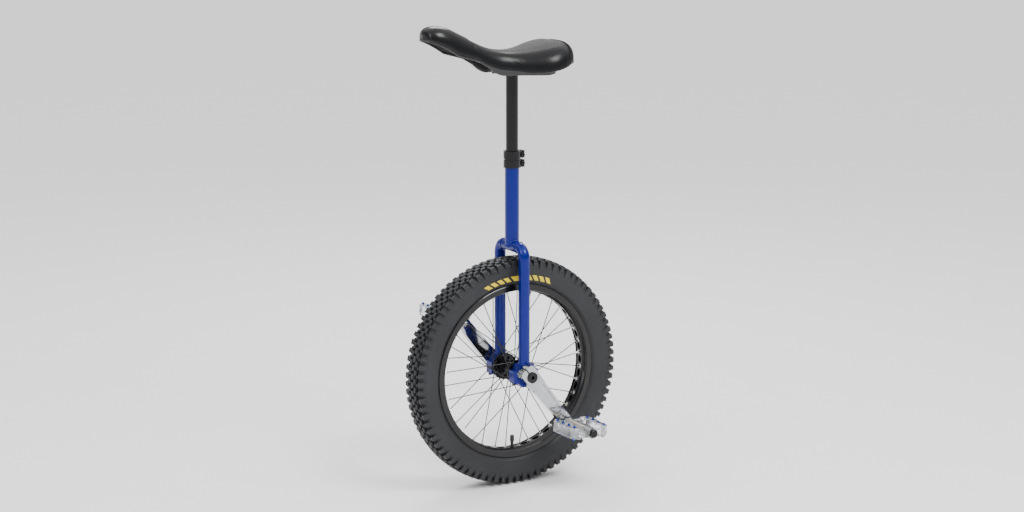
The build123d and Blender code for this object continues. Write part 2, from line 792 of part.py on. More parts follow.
plate_top = post_top + plate_thickness
base_bottoms = [max(bottom, plate_top - 9) + 9 + face_gap for _, _, bottom, _ in saddle_stations]
inner_width = [width - saddle_skirt_wall for _, width, _, _ in saddle_stations]
inset = 8.0
saddle_x = [x for x, _, _, _ in saddle_stations]
cavity_x = [saddle_x[0] + inset, *saddle_x[1:-1], saddle_x[-1] - inset]
base_x = [cavity_x[0] + face_gap, *cavity_x[1:-1], cavity_x[-1] - face_gap]
cavity_stations = [
    (x, width, bottom - 60, bottom + saddle_base_thickness + face_gap)
    for x, width, bottom in zip(cavity_x, inner_width, base_bottoms)
]
base_stations = [
    (x, width - face_gap, bottom, bottom + saddle_base_thickness)
    for x, width, bottom in zip(base_x, inner_width, base_bottoms)
]
with BuildPart() as saddle_pad:
    add(lofted(saddle_stations, 20.0))
    add(lofted(cavity_stations, 0, ruled=True), mode=Mode.SUBTRACT)
save(saddle_pad.part, "saddle_pad")

with BuildPart() as saddle_base:
    add(lofted(base_stations, 0, ruled=True))
    with BuildSketch(Plane.XY.offset(plate_top - 20)):
        with Locations(*saddle_bolt_grid):
            Circle(saddle_bolt_radius + bolt_fit)
    extrude(amount=60, mode=Mode.SUBTRACT)
    with BuildSketch(Plane.XY.offset(plate_top - 20)):
        RectangleRounded(plate_half_length * 2 + 1, plate_half_width * 2 + 1, saddle_corner)
    extrude(amount=20 + face_gap, mode=Mode.SUBTRACT)
save(saddle_base.part, "saddle_base")

with BuildPart() as saddle_bolts:
    with BuildSketch(Plane.XY.offset(post_top)):
        with Locations(*saddle_bolt_grid):
            Circle(saddle_bolt_head_radius)
    extrude(amount=-saddle_bolt_head_length)
    with BuildSketch(Plane.XY.offset(post_top)):
        with Locations(*saddle_bolt_grid):
            Circle(saddle_bolt_radius)
    extrude(amount=plate_thickness + saddle_base_thickness)
save(saddle_bolts.part, "saddle_bolts")


def hollow_below(stations, wall, roof, corner):
    """Cap lofted through its stations and open underneath, with walls of one thickness."""
    last = stations[-1][0] > stations[0][0]
    room = [
        (x, half_width - wall, bottom - 60, top - roof)
        for x, half_width, bottom, top in stations[:-1]
    ]
    step = wall if last else -wall
    room[0] = (stations[0][0] + step, *room[0][1:])
    with BuildPart() as shell:
        add(lofted(stations, corner))
        add(lofted(room, 0, ruled=True), mode=Mode.SUBTRACT)
    return shell.part


save(hollow_below(handle_stations, handle_wall, handle_roof, 14.0), "front_handle")
save(hollow_below(bumper_stations, bumper_wall, bumper_roof, 14.0), "rear_bumper")

# ---------------------------------------------------------------- cranks and what is on them


def crank_plane(side, outboard=0.0):
    """Plane across the axle with x along the crank arm, facing outboard."""
    origin = axle + Vector(0, side * outboard, 0)
    return Plane(origin=origin, x_dir=crank_arm * side, z_dir=(0, side, 0))


def make_crank(side):
    end_x = crank_length + crank_end_half_width
    quarter = crank_end_half_width * cos(radians(45))
    with BuildPart() as crank:
        with BuildSketch(crank_plane(side, crank_inner_face)):
            with BuildLine():
                boss_flat = crank_boss_half_width - crank_boss_corner
                boss_side = -crank_boss_end + crank_boss_corner
                Line((-crank_boss_end, 0), (-crank_boss_end, boss_flat))
                RadiusArc((-crank_boss_end, boss_flat), (boss_side, crank_boss_half_width),
                          crank_boss_corner)
                Polyline((boss_side, crank_boss_half_width), (8, crank_boss_half_width),
                         (40, crank_neck_half_width), (crank_length, crank_end_half_width))
                ThreePointArc((crank_length, crank_end_half_width),
                              (crank_length + quarter, quarter), (end_x, 0))
                Line((end_x, 0), (-crank_boss_end, 0))
            make_face()
            mirror(about=Plane.XZ)
        extrude(amount=crank_outer_face - crank_inner_face)
        arm_face = crank_outer_face - crank_arm_thickness
        arm = crank_arm * side
        across = Plane(origin=axle, x_dir=arm, z_dir=arm.cross(Vector(0, side, 0)))
        with BuildSketch(across):
            with BuildLine():
                Polyline((22, crank_inner_face - 5), (22, crank_inner_face), (60, arm_face),
                         (end_x + 5, arm_face), (end_x + 5, crank_inner_face - 5), close=True)
            make_face()
        extrude(amount=crank_boss_half_width + 5, both=True, mode=Mode.SUBTRACT)
        with BuildSketch(crank_plane(side, crank_outer_face)):
            with Locations((33, 0)):
                Circle(crank_neck_half_width - 5)
            with Locations((short_crank_length - 20, 0)):
                Circle(crank_end_half_width - 4.5)
            make_hull()
        extrude(amount=-crank_recess_depth, mode=Mode.SUBTRACT)
        with BuildSketch(crank_plane(side, crank_inner_face - 5)):
            Circle(spindle_radius + seat_fit)
            with Locations((short_crank_length, 0), (crank_length, 0)):
                Circle(pedal_thread_radius)
            with Locations((-crank_boss_end / 2 - 5, 0)):
                Rectangle(crank_boss_end - 7, crank_slot)
        extrude(amount=crank_outer_face - crank_inner_face + 10, mode=Mode.SUBTRACT)
        with BuildSketch(pinch_plane(side)):
            with Locations((-pinch_bolt_offset, 0), (pinch_bolt_offset, 0)):
                Circle(pinch_bolt_radius + bolt_fit)
        extrude(amount=crank_boss_half_width + 5, both=True, mode=Mode.SUBTRACT)
        with BuildSketch(pinch_plane(side).offset(pinch_head_seat())):
            with Locations((-pinch_bolt_offset, 0), (pinch_bolt_offset, 0)):
                Circle(pinch_bolt_head_radius + bolt_fit)
        extrude(amount=crank_boss_half_width, mode=Mode.SUBTRACT)
    return crank.part


def pinch_plane(side):
    """Plane along the crank through the slot, at the pinch bolts; x is outboard."""
    middle = (crank_inner_face + crank_outer_face) / 2
    frame = crank_plane(side, middle)
    origin = frame.origin - frame.x_dir * pinch_bolt_setback
    return Plane(origin=origin, x_dir=frame.z_dir, z_dir=frame.y_dir * -1)


def pinch_head_seat():
    return crank_boss_half_width - pinch_bolt_head_length - 1.2


def pedal_plane(side, lift=0.0):
    """Plane across the pedal axle's line with y outboard, tilted with the pedal."""
    centre = axle + crank_arm * side * crank_length
    tilt = radians(pedal_tilt)
    forward = Vector(cos(tilt), 0, sin(tilt)) * side
    upward = Vector(-sin(tilt), 0, cos(tilt))
    return Plane(origin=centre + upward * lift, x_dir=forward, z_dir=upward)


def pedal_cross(side, outboard):
    """Plane square to the pedal's axle at a distance outboard."""
    centre = axle + crank_arm * side * crank_length
    tilt = radians(pedal_tilt)
    return Plane(origin=centre + Vector(0, side * outboard, 0),
                 x_dir=Vector(cos(tilt), 0, sin(tilt)), z_dir=(0, side, 0))


def make_pedal(side):
    middle = (pedal_inner_end + pedal_outer_end) / 2
    half_span = (pedal_outer_end - pedal_inner_end) / 2
    bar_inner = pedal_half_length - pedal_bar_width
    window_half_span = half_span - pedal_window_margin / 2 - 2
    inner, outer = pedal_inner_chamfer, pedal_outer_chamfer
    with BuildPart() as body:
        with BuildSketch(pedal_plane(side)):
            with BuildLine():
                Polyline(
                    (0, pedal_inner_end),
                    (pedal_half_length - inner, pedal_inner_end),
                    (pedal_half_length, pedal_inner_end + inner),
                    (pedal_half_length, pedal_outer_end - outer * 0.7),
                    (pedal_half_length - outer, pedal_outer_end),
                    (0, pedal_outer_end),
                    close=True,
                )
            make_face()
            mirror(about=Plane.YZ)
        extrude(amount=pedal_half_thickness, both=True)
        for lift in (-1, 1):
            with BuildSketch(pedal_plane(side, lift * pedal_web_half_thickness)):
                with Locations((0, middle)):
                    Rectangle(2 * bar_inner, 2 * half_span + 10)
            extrude(amount=lift * pedal_half_thickness, mode=Mode.SUBTRACT)
        with BuildSketch(pedal_cross(side, pedal_inner_end)):
            Circle(pedal_boss_radius)
        extrude(amount=pedal_outer_end - pedal_inner_end)
        window_inner = pedal_boss_radius + 2.0
        with BuildSketch(pedal_plane(side, -pedal_half_thickness)):
            for way in (-1, 1):
                with Locations((way * (window_inner + bar_inner) / 2, middle)):
                    RectangleRounded(bar_inner - window_inner, 2 * window_half_span, 4)
        extrude(amount=2 * pedal_half_thickness, mode=Mode.SUBTRACT)
        with BuildSketch(pedal_cross(side, pedal_inner_end - 1)):
            Circle(pedal_bore)
        extrude(amount=pedal_outer_end - pedal_inner_end + 2, mode=Mode.SUBTRACT)
        for lift in (-1, 1):
            with BuildSketch(pedal_plane(side, lift * (pedal_half_thickness + 1))):
                with Locations(*pin_places()):
                    Circle(pin_radius + slide_fit)
            extrude(amount=-lift * (pin_depth + 1.1), mode=Mode.SUBTRACT)
    return body.part


def pin_places():
    return [
        (way * pin_row_offset, pin_first + pin * pin_pitch)
        for way in (-1, 1)
        for pin in range(pins_per_row)
    ]


def make_pins(side):
    with BuildPart() as pins:
        for lift in (-1, 1):
            face = pedal_plane(side, lift * pedal_half_thickness)
            with BuildSketch(face):
                with Locations(*pin_places()):
                    Circle(pin_radius)
            extrude(amount=-lift * pin_depth)
            with BuildSketch(face):
                with Locations(*pin_places()):
                    RegularPolygon(pin_hex_radius, 6)
            extrude(amount=lift * pin_hex_length)
            with BuildSketch(face):
                with Locations(*pin_places()):
                    Circle(pin_radius)
            extrude(amount=lift * pin_height)
    return pins.part


nut_start = pedal_outer_end - 3.0 - pedal_nut_length


def make_pedal_axle(side):
    collar_start = crank_outer_face
    collar_end = collar_start + pedal_axle_collar_length
    thread_start = crank_outer_face - crank_arm_thickness + 1
    with BuildPart() as rod:
        with BuildSketch(pedal_cross(side, thread_start)):
            Circle(pedal_thread_radius - slide_fit)
            RegularPolygon(4.0, 6, mode=Mode.SUBTRACT)
        extrude(amount=collar_start - thread_start)
        with BuildSketch(pedal_cross(side, collar_start)):
            Circle(pedal_axle_collar_radius)
        extrude(amount=collar_end - collar_start)
        with BuildSketch(pedal_cross(side, collar_end)):
            Circle(pedal_axle_radius)
        extrude(amount=nut_start - collar_end)
        with BuildSketch(pedal_cross(side, nut_start)):
            Circle(pedal_axle_end_radius)
        extrude(amount=pedal_nut_length)
    return rod.part


bushing_start = pedal_inner_end + 3.0

with BuildPart() as crank_pinch_bolts:
    for side in sides.values():
        frame = pinch_plane(side)
        places = ((-pinch_bolt_offset, 0), (pinch_bolt_offset, 0))
        with BuildSketch(frame.offset(pinch_head_seat() + 0.05)):
            with Locations(*places):
                Circle(pinch_bolt_head_radius)
                RegularPolygon(2.3, 6, mode=Mode.SUBTRACT)
        extrude(amount=pinch_bolt_head_length)
        with BuildSketch(frame.offset(-crank_boss_half_width + 3)):
            with Locations(*places):
                Circle(pinch_bolt_radius)
        extrude(amount=crank_boss_half_width - 3 + pinch_head_seat() + 0.1)
save(crank_pinch_bolts.part, "crank_pinch_bolts")

for side_name, side in sides.items():
    save(make_crank(side), f"{side_name}_crank")

    with BuildPart() as preload_cap:
        with BuildSketch(crank_plane(side, crank_outer_face)):
            Circle(preload_cap_radius)
        extrude(amount=preload_cap_thickness)
        with BuildSketch(crank_plane(side, crank_outer_face)):
            Circle(spindle_bore - slide_fit)
        extrude(amount=-preload_cap_stem)
        with BuildSketch(crank_plane(side, crank_outer_face + preload_cap_thickness)):
            RegularPolygon(4.6, 6)
        extrude(amount=-5, mode=Mode.SUBTRACT)
    save(preload_cap.part, f"{side_name}_preload_cap")

    save(make_pedal(side), f"{side_name}_pedal_body")
    save(make_pins(side), f"{side_name}_pedal_pins")
    save(make_pedal_axle(side), f"{side_name}_pedal_axle")

    with BuildPart() as bushing:
        with BuildSketch(pedal_cross(side, bushing_start)):
            Circle(pedal_bore - seat_fit)
            Circle(pedal_axle_radius + slide_fit, mode=Mode.SUBTRACT)
        extrude(amount=pedal_bushing_length)
    save(bushing.part, f"{side_name}_pedal_bushing")

    with BuildPart() as end_cap:
        with BuildSketch(pedal_cross(side, pedal_outer_end)):
            Circle(pedal_end_cap_radius + 1.0)
        extrude(amount=pedal_end_cap_length)
        chamfer(end_cap.faces().sort_by(Axis.Y)[-1 if side > 0 else 0].edges(), 1.0)
        with BuildSketch(pedal_cross(side, pedal_outer_end)):
            Circle(pedal_bore - slide_fit)
        extrude(amount=-2.0)
    save(end_cap.part, f"{side_name}_pedal_end_cap")

with BuildPart() as pedal_axle_nuts:
    for side in sides.values():
        with BuildSketch(pedal_cross(side, nut_start)):
            RegularPolygon(pedal_nut_radius, 6)
            Circle(pedal_axle_end_radius + slide_fit, mode=Mode.SUBTRACT)
        extrude(amount=pedal_nut_length)
save(pedal_axle_nuts.part, "pedal_axle_nuts")
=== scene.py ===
# %% [markdown]
# # A 19 inch trials unicycle
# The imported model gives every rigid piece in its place, in metres: +X forward, +Y to the rider's
# left, +Z up, with the ground at z = 0. This lesson adds what a machinist's model leaves out: tread
# blocks, a sewn saddle, weld beads, rounded edges and the finish of every surface.

# %% Load the frame
import json
import bmesh
import bpy
import numpy as np
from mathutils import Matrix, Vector
from mathutils.bvhtree import BVHTree


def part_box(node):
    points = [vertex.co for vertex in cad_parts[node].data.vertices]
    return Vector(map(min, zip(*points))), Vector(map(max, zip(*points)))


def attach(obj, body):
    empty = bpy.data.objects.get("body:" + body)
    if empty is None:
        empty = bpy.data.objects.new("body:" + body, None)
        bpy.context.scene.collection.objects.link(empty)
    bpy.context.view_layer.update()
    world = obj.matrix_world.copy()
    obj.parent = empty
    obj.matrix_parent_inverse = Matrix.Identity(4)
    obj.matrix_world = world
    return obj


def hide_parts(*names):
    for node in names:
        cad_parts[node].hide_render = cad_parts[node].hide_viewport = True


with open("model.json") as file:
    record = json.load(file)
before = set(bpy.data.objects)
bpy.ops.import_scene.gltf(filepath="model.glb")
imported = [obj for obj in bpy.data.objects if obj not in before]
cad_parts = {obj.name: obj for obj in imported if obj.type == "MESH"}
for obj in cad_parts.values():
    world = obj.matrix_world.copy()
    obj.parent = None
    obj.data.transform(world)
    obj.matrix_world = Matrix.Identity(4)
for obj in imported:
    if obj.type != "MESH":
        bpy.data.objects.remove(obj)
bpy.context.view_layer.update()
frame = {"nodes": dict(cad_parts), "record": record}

nodes = frame["nodes"]
body_of_node = {
    node: body
    for body, names in frame["record"]["behaviour"]["bodies"].items()
    for node in names
}

# %% [markdown]
# Sizes that the new pieces share come from the frame: the tyre's box gives the wheel's radius,
# width and axle height, and each saddle piece is measured by rays shot at its plain CAD solid.

# %% Measure the frame
MM = 0.001
tyre_low, tyre_high = (np.array(corner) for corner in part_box("tyre"))
WHEEL_RADIUS = (tyre_high[2] - tyre_low[2]) / 2
AXLE_Z = (tyre_high[2] + tyre_low[2]) / 2
TYRE_HALF = (tyre_high[1] - tyre_low[1]) / 2
rim_low, rim_high = (np.array(corner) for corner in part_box("rim"))
RIM_RADIUS = (rim_high[2] - rim_low[2]) / 2
RIM_HALF = (rim_high[1] - rim_low[1]) / 2
print("wheel radius", WHEEL_RADIUS, "rim radius", RIM_RADIUS)

# %% [markdown]
# Every new piece is a surface worked out as whole arrays. One helper turns a grid of points into a
# mesh: the grid may close on itself in either direction, and ends that stay open can be capped.


# %% Mesh helpers
def mesh_object(name, points, faces, smooth=True):
    """A mesh object at the origin from an array of points and a list of faces."""
    mesh = bpy.data.meshes.new(name)
    mesh.from_pydata(np.asarray(points, float).reshape(-1, 3).tolist(), [], [list(f) for f in faces])
    mesh.validate()
    mesh.update()
    mesh.shade_smooth() if smooth else mesh.shade_flat()
    piece = bpy.data.objects.new(name, mesh)
    bpy.context.scene.collection.objects.link(piece)
    return piece


def grid_faces(rows, columns, close_rows=False, close_columns=False, start=0):
    """Quads of a grid of rows by columns, as an array of point numbers."""
    i = np.arange(rows if close_rows else rows - 1)[:, None]
    j = np.arange(columns if close_columns else columns - 1)[None, :]
    below, right = (i + 1) % rows, (j + 1) % columns
    quads = np.stack(np.broadcast_arrays(
        i * columns + j, i * columns + right, below * columns + right, below * columns + j), -1)
    return (quads.reshape(-1, 4) + start).tolist()


def outward(piece):
    """Merge doubles and turn every face of a closed piece outwards."""
    work = bmesh.new()
    work.from_mesh(piece.data)
    bmesh.ops.remove_doubles(work, verts=work.verts, dist=1e-6)
    bmesh.ops.recalc_face_normals(work, faces=work.faces)
    work.to_mesh(piece.data)
    work.free()
    return piece


def smooth_by_angle(piece, degrees=32):
    """Smooth shading with edges sharper than the angle kept crisp."""
    piece.data.shade_smooth()
    piece.data.set_sharp_from_angle(angle=np.radians(degrees))
    return piece


def around(radius, side, angle):
    """Points from radius, distance along the axle and wheel angle, for a wheel about the axle."""
    radius, side, angle = np.broadcast_arrays(radius, side, angle)
    return np.stack([radius * np.cos(angle), side, AXLE_Z + radius * np.sin(angle)], -1)


# %% [markdown]
# Materials are built from nodes. Real finishes are never even: the helper lays a fine grain and a
# slow drift over the colour and the roughness, and a bump as deep as the grain of the real surface.
# Values that are the same everywhere sit on the shader's own sockets, so they survive an export.


# %% Material helper
def finish(name, colour, roughness, metallic=0.0, grain=900.0, drift=9.0, variation=0.12,
           bump=0.0, bump_scale=None, **sockets):
    """A principled material with drifting colour, grainy roughness and an optional fine bump."""
    material = bpy.data.materials.new(name)
    material.use_nodes = True
    tree = material.node_tree
    shader = tree.nodes["Principled BSDF"]
    shader.inputs["Metallic"].default_value = metallic
    for socket, value in sockets.items():
        shader.inputs[socket.replace("_", " ")].default_value = value
    place = tree.nodes.new("ShaderNodeTexCoord").outputs["Object"]

    def noise(scale, detail=4.0):
        texture = tree.nodes.new("ShaderNodeTexNoise")
        texture.inputs["Scale"].default_value = scale
        texture.inputs["Detail"].default_value = detail
        tree.links.new(place, texture.inputs["Vector"])
        return texture.outputs["Fac"]

    def ramp(source, low, high, start=0.3, end=0.7):
        node = tree.nodes.new("ShaderNodeMapRange")
        node.inputs["From Min"].default_value = start
        node.inputs["From Max"].default_value = end
        node.inputs["To Min"].default_value = low
        node.inputs["To Max"].default_value = high
        tree.links.new(source, node.inputs["Value"])
        return node.outputs["Result"]

    slow, fine = noise(drift), noise(grain)
    shade = tree.nodes.new("ShaderNodeHueSaturation")
    shade.inputs["Color"].default_value = (*colour, 1.0)
    tree.links.new(ramp(slow, 1.0 - variation, 1.0 + variation), shade.inputs["Value"])
    tree.links.new(shade.outputs["Color"], shader.inputs["Base Color"])
    tree.links.new(ramp(fine, roughness * 0.82, roughness * 1.18), shader.inputs["Roughness"])
    if bump:
        height = tree.nodes.new("ShaderNodeBump")
        height.inputs["Strength"].default_value = 1.0
        height.inputs["Distance"].default_value = bump
        tree.links.new(noise(bump_scale or grain), height.inputs["Height"])
        tree.links.new(height.outputs["Normal"], shader.inputs["Normal"])
    return material


def paint(piece, material):
    piece.data.materials.clear()
    piece.data.materials.append(material)
    return piece


# %% [markdown]
# The frame is steel under a deep blue powder coat: a coloured base under a clear, glossy skin with
# the faint orange peel of baked powder. The black parts are anodised, which is satin, not glossy.

# %% Finishes of the metal parts
frame_blue = finish("frame_blue_powder_coat", (0.0004, 0.0055, 0.16), 0.3, metallic=0.3,
                    variation=0.08, bump=0.00002, bump_scale=420.0, Specular_IOR_Level=0.15,
                    Coat_Weight=0.35, Coat_Roughness=0.04, Coat_IOR=1.45)
black_anodised = finish("black_anodised", (0.006, 0.006, 0.007), 0.22, metallic=0.1,
                        variation=0.15, bump=0.00001, bump_scale=3000.0,
                        Specular_IOR_Level=0.3)
black_rim = finish("black_rim_anodised", (0.006, 0.0062, 0.007), 0.18, metallic=0.1,
                   variation=0.15, bump=0.00001, bump_scale=2600.0, Specular_IOR_Level=0.4)
polished_alloy = finish("polished_alloy", (0.4, 0.41, 0.43), 0.07, metallic=1.0,
                        variation=0.12, drift=30.0, bump=0.00004, bump_scale=30.0)
spoke_black = finish("black_spoke_steel", (0.006, 0.006, 0.007), 0.32, metallic=0.1)
nickel = finish("nickel_plate", (0.78, 0.77, 0.75), 0.16, metallic=1.0, variation=0.05)
turned_steel = finish("turned_steel", (0.42, 0.42, 0.44), 0.28, metallic=1.0, variation=0.08)
race_steel = finish("bearing_steel", (0.7, 0.71, 0.73), 0.12, metallic=1.0, variation=0.03)
black_oxide = finish("black_oxide_steel", (0.012, 0.012, 0.013), 0.34, metallic=0.2, variation=0.2)
bronze = finish("sintered_bronze", (0.46, 0.29, 0.13), 0.42, metallic=1.0, variation=0.15,
                bump=0.00002, bump_scale=2500.0)
blue_anodised = finish("blue_anodised_pin", (0.006, 0.045, 0.36), 0.2, metallic=1.0,
                       variation=0.08)

# %% [markdown]
# Rubber is dark grey, never black, with a dusty bloom. Moulded plastic on the saddle is glossier and
# carries a fine leather-like grain. The clear pedals are polycarbonate: light goes through, and
# slight flow marks inside bend it.

# %% Finishes of rubber and plastic
tyre_rubber = finish("tyre_rubber", (0.0175, 0.018, 0.0205), 0.55, variation=0.18, grain=700.0,
                     bump=0.00006, bump_scale=900.0, Specular_IOR_Level=0.36)
soft_rubber = finish("soft_rubber", (0.014, 0.014, 0.015), 0.5, bump=0.00003, bump_scale=1200.0)
hot_yellow = finish("yellow_sidewall_mark", (0.76, 0.57, 0.0), 0.55, variation=0.06,
                    bump=0.00004, bump_scale=1200.0)
gloss_plastic = finish("black_moulded_plastic", (0.004, 0.0042, 0.005), 0.25, variation=0.12,
                       bump=0.00004, bump_scale=700.0, Specular_IOR_Level=0.26)
dull_plastic = finish("black_nylon", (0.016, 0.016, 0.017), 0.48, bump=0.00005, bump_scale=1500.0)
clear_plastic = finish("clear_polycarbonate", (0.93, 0.95, 0.97), 0.09, variation=0.03,
                       bump=0.00025, bump_scale=95.0, IOR=1.58, Transmission_Weight=0.93)

# %% [markdown]
# Each node takes the finish of what it is made from. The list follows the record's own slots, so a
# piece that is added to a slot later is painted too.

# %% Paint the carried nodes
finish_of_slot = {
    "frame_paint": frame_blue, "black_steel": black_oxide, "bearing_steel": race_steel,
    "bearing_seal": soft_rubber, "black_alloy": black_anodised, "spindle_steel": turned_steel,
    "polished_alloy": polished_alloy, "spoke_black": spoke_black, "nipple_silver": nickel,
    "tyre_rubber": tyre_rubber, "tube_rubber": soft_rubber, "black_plastic": gloss_plastic,
    "bushing_bronze": bronze, "clear_plastic": clear_plastic, "pin_blue": blue_anodised,
    "saddle_cover": gloss_plastic,
}
slot_of_node = {part["node"]: part["material_slot"] for part in frame["record"]["subparts"]}
for node, piece in nodes.items():
    paint(piece, finish_of_slot[slot_of_node[node]])
paint(nodes["rim"], black_rim)
paint(nodes["saddle_base"], dull_plastic)
paint(nodes["valve_cap"], soft_rubber)
print("painted", len(nodes), "nodes")

# %% [markdown]
# Machined and moulded edges are never razor sharp: a thin bright line runs along every real edge.
# A merged copy of the node gets a narrow bevel, and stands for the node. The CAD mesh stays as it is.


# %% Rounded edges
def softened(node, width, angle=32, segments=2):
    """A copy of a CAD node whose sharp edges are bevelled by a width in metres."""
    source = nodes[node]
    piece = bpy.data.objects.new(node + "_finished", source.data.copy())
    bpy.context.scene.collection.objects.link(piece)
    work = bmesh.new()
    work.from_mesh(piece.data)
    bmesh.ops.remove_doubles(work, verts=work.verts, dist=2e-6)
    bmesh.ops.dissolve_limit(work, angle_limit=np.radians(0.6), verts=work.verts, edges=work.edges)
    work.to_mesh(piece.data)
    work.free()
    smooth_by_angle(piece, angle)
    bevel = piece.modifiers.new("edge", "BEVEL")
    bevel.width = width
    bevel.segments = segments
    bevel.limit_method = "ANGLE"
    bevel.angle_limit = np.radians(angle)
    bevel.use_clamp_overlap = True
    bevel.harden_normals = True
    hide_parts(node)
    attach(piece, body_of_node[node])
    return piece


edge_widths = {
    "crank": 0.9 * MM, "bearing_housing": 0.9 * MM, "bearing_cap": 0.9 * MM,
    "pedal_body": 0.8 * MM,
}
for side in ("left", "right"):
    for part, width in edge_widths.items():
        softened(f"{side}_{part}", width)
softened("seat_clamp", 0.5 * MM)
softened("seat_clamp_bolts", 0.4 * MM)
softened("bearing_cap_bolts", 0.4 * MM)
print("softened", 2 * len(edge_widths) + 3, "nodes")

# %% [markdown]
# The tyre is a carcass with blocks standing on it. The carcass is one profile, given as radius
# against distance from the wheel's middle, turned about the axle. It starts at the bead, where it
# meets the rim, swells past the two thin mould lines, and runs under the tread.

# %% Tyre carcass
TREAD_DEPTH = 6.5 * MM
bead_r, bead_y = RIM_RADIUS - 1.5 * MM, RIM_HALF - 3.2 * MM
carcass_r = np.array([bead_r, RIM_RADIUS + 0.4 * MM, RIM_RADIUS + 3.4 * MM, RIM_RADIUS + 12 * MM,
                      RIM_RADIUS + 25 * MM, WHEEL_RADIUS - 22 * MM, WHEEL_RADIUS - 14 * MM,
                      WHEEL_RADIUS - 9.5 * MM, WHEEL_RADIUS - TREAD_DEPTH])
carcass_y = np.array([bead_y, bead_y + 0.3 * MM, RIM_HALF - 0.6 * MM, RIM_HALF + 3.4 * MM,
                      TYRE_HALF - 4.0 * MM, TYRE_HALF - 2.8 * MM, TYRE_HALF - 4.5 * MM,
                      TYRE_HALF - 12 * MM, 0.0])


def spline(knots, values, where):
    """Natural cubic through the values at the knots, as in a draughtsman's spline."""
    knots, values = np.asarray(knots, float), np.asarray(values, float)
    gap = np.diff(knots)
    slope = np.diff(values) / gap
    size = len(knots)
    system = np.eye(size)
    inner = np.arange(1, size - 1)
    system[inner, inner - 1], system[inner, inner + 1] = gap[:-1], gap[1:]
    system[inner, inner] = 2 * (gap[:-1] + gap[1:])
    right = np.zeros(size)
    right[1:-1] = 6 * np.diff(slope)
    curve = np.linalg.solve(system, right)
    k = np.clip(np.searchsorted(knots, where) - 1, 0, size - 2)
    t = where - knots[k]
    return (values[k] + t * (slope[k] - gap[k] * (2 * curve[k] + curve[k + 1]) / 6)
            + curve[k] * t**2 / 2 + (curve[k + 1] - curve[k]) * t**3 / (6 * gap[k]))


run = np.concatenate([[0], np.cumsum(np.hypot(np.diff(carcass_r), np.diff(carcass_y)))])
PROFILE_POINTS = 60
fine_run = np.linspace(0, run[-1], PROFILE_POINTS)
profile_r = spline(run, carcass_r, fine_run)
profile_y = spline(run, carcass_y, fine_run)
MOULD_LINES = (RIM_RADIUS + 7.0 * MM, RIM_RADIUS + 25.5 * MM)
LINE_HEIGHT, LINE_WIDTH = 0.55 * MM, 0.9 * MM
for mould_line in MOULD_LINES:
    profile_y = profile_y + LINE_HEIGHT * np.exp(-((profile_r - mould_line) / LINE_WIDTH) ** 2)
loop_r = np.concatenate([profile_r, profile_r[-2::-1]])
loop_y = np.concatenate([profile_y, -profile_y[-2::-1]])
wall_r = np.concatenate([[bead_r, bead_r + 2 * MM], [WHEEL_RADIUS - 26 * MM, WHEEL_RADIUS - 13 * MM],
                         [WHEEL_RADIUS - 26 * MM, bead_r + 2 * MM, bead_r]])
wall_y = np.concatenate([[-bead_y + 3 * MM, -bead_y + 3 * MM], [-TYRE_HALF + 8 * MM, 0.0],
                         [TYRE_HALF - 8 * MM, bead_y - 3 * MM, bead_y - 3 * MM]])
section_r = np.concatenate([loop_r, wall_r])
section_y = np.concatenate([loop_y, wall_y])
TURNS = 256
turn = np.linspace(0, 2 * np.pi, TURNS, endpoint=False)
points = around(section_r[None, :], section_y[None, :], turn[:, None])
carcass = mesh_object("tyre_carcass", points, grid_faces(TURNS, len(section_r), True, True))
outward(carcass)
smooth_by_angle(carcass, 40)
paint(carcass, tyre_rubber)
print("carcass points", points.shape)

# %% [markdown]
# Tread blocks repeat round the tyre. One block is an eight-cornered outline drawn up from the carcass
# with draft, then a small bevel and a flat top; the whole row is that block turned about the axle as
# one array. The middle has two staggered rows with thinner blocks between them and the shoulders.


# %% Tread blocks
def block_row(count, phase, y, half_long, half_wide, tilt, top, depth, corner=0.25, draft=1.14):
    """Rows of drafted blocks.

    Each block stands at distance y from the middle with its top at radius top, leaning outwards by
    tilt. Its rings are the outline scaled by the draft at the root, full size just under the top,
    and inset by the bevel at the top.
    """
    c = corner
    outline = np.array([(1, 1 - c), (1 - c, 1), (-1 + c, 1), (-1, 1 - c),
                        (-1, -1 + c), (-1 + c, -1), (1 - c, -1), (1, -1 + c)])
    bevel = 0.7 * MM
    inset = 1 - bevel / min(half_long, half_wide)
    levels = np.array([-depth, -bevel, 0.0])
    corners, rings = len(outline), len(levels)
    scales = np.array([draft, 1.0, inset])
    along = outline[None, :, 0] * half_long * scales[:, None]
    across = outline[None, :, 1] * half_wide * scales[:, None]
    up = np.broadcast_to(levels[:, None], along.shape)
    lean = np.array([np.cos(tilt), np.sin(tilt)])
    radius = top + up * lean[0] - across * lean[1]
    side = y + up * lean[1] + across * lean[0]
    angles = phase + 2 * np.pi * np.arange(count) / count
    spread = along / WHEEL_RADIUS
    points = around(radius[None], side[None], spread[None] + angles[:, None, None])
    faces = []
    for block in range(count):
        start = block * corners * rings
        top_ring = start + corners * (rings - 1)
        faces += grid_faces(rings, corners, False, True, start)
        faces.append([top_ring + k for k in range(corners)])
        faces.append([start + corners - 1 - k for k in range(corners)])
    return points.reshape(-1, 3), faces


def gather(parts):
    """One set of points and faces from several."""
    points, faces, start = [], [], 0
    for block_points, block_faces in parts:
        points.append(block_points)
        faces += [[number + start for number in face] for face in block_faces]
        start += len(block_points)
    return np.concatenate(points), faces


KNOBS = 84
PITCH = 2 * np.pi / KNOBS
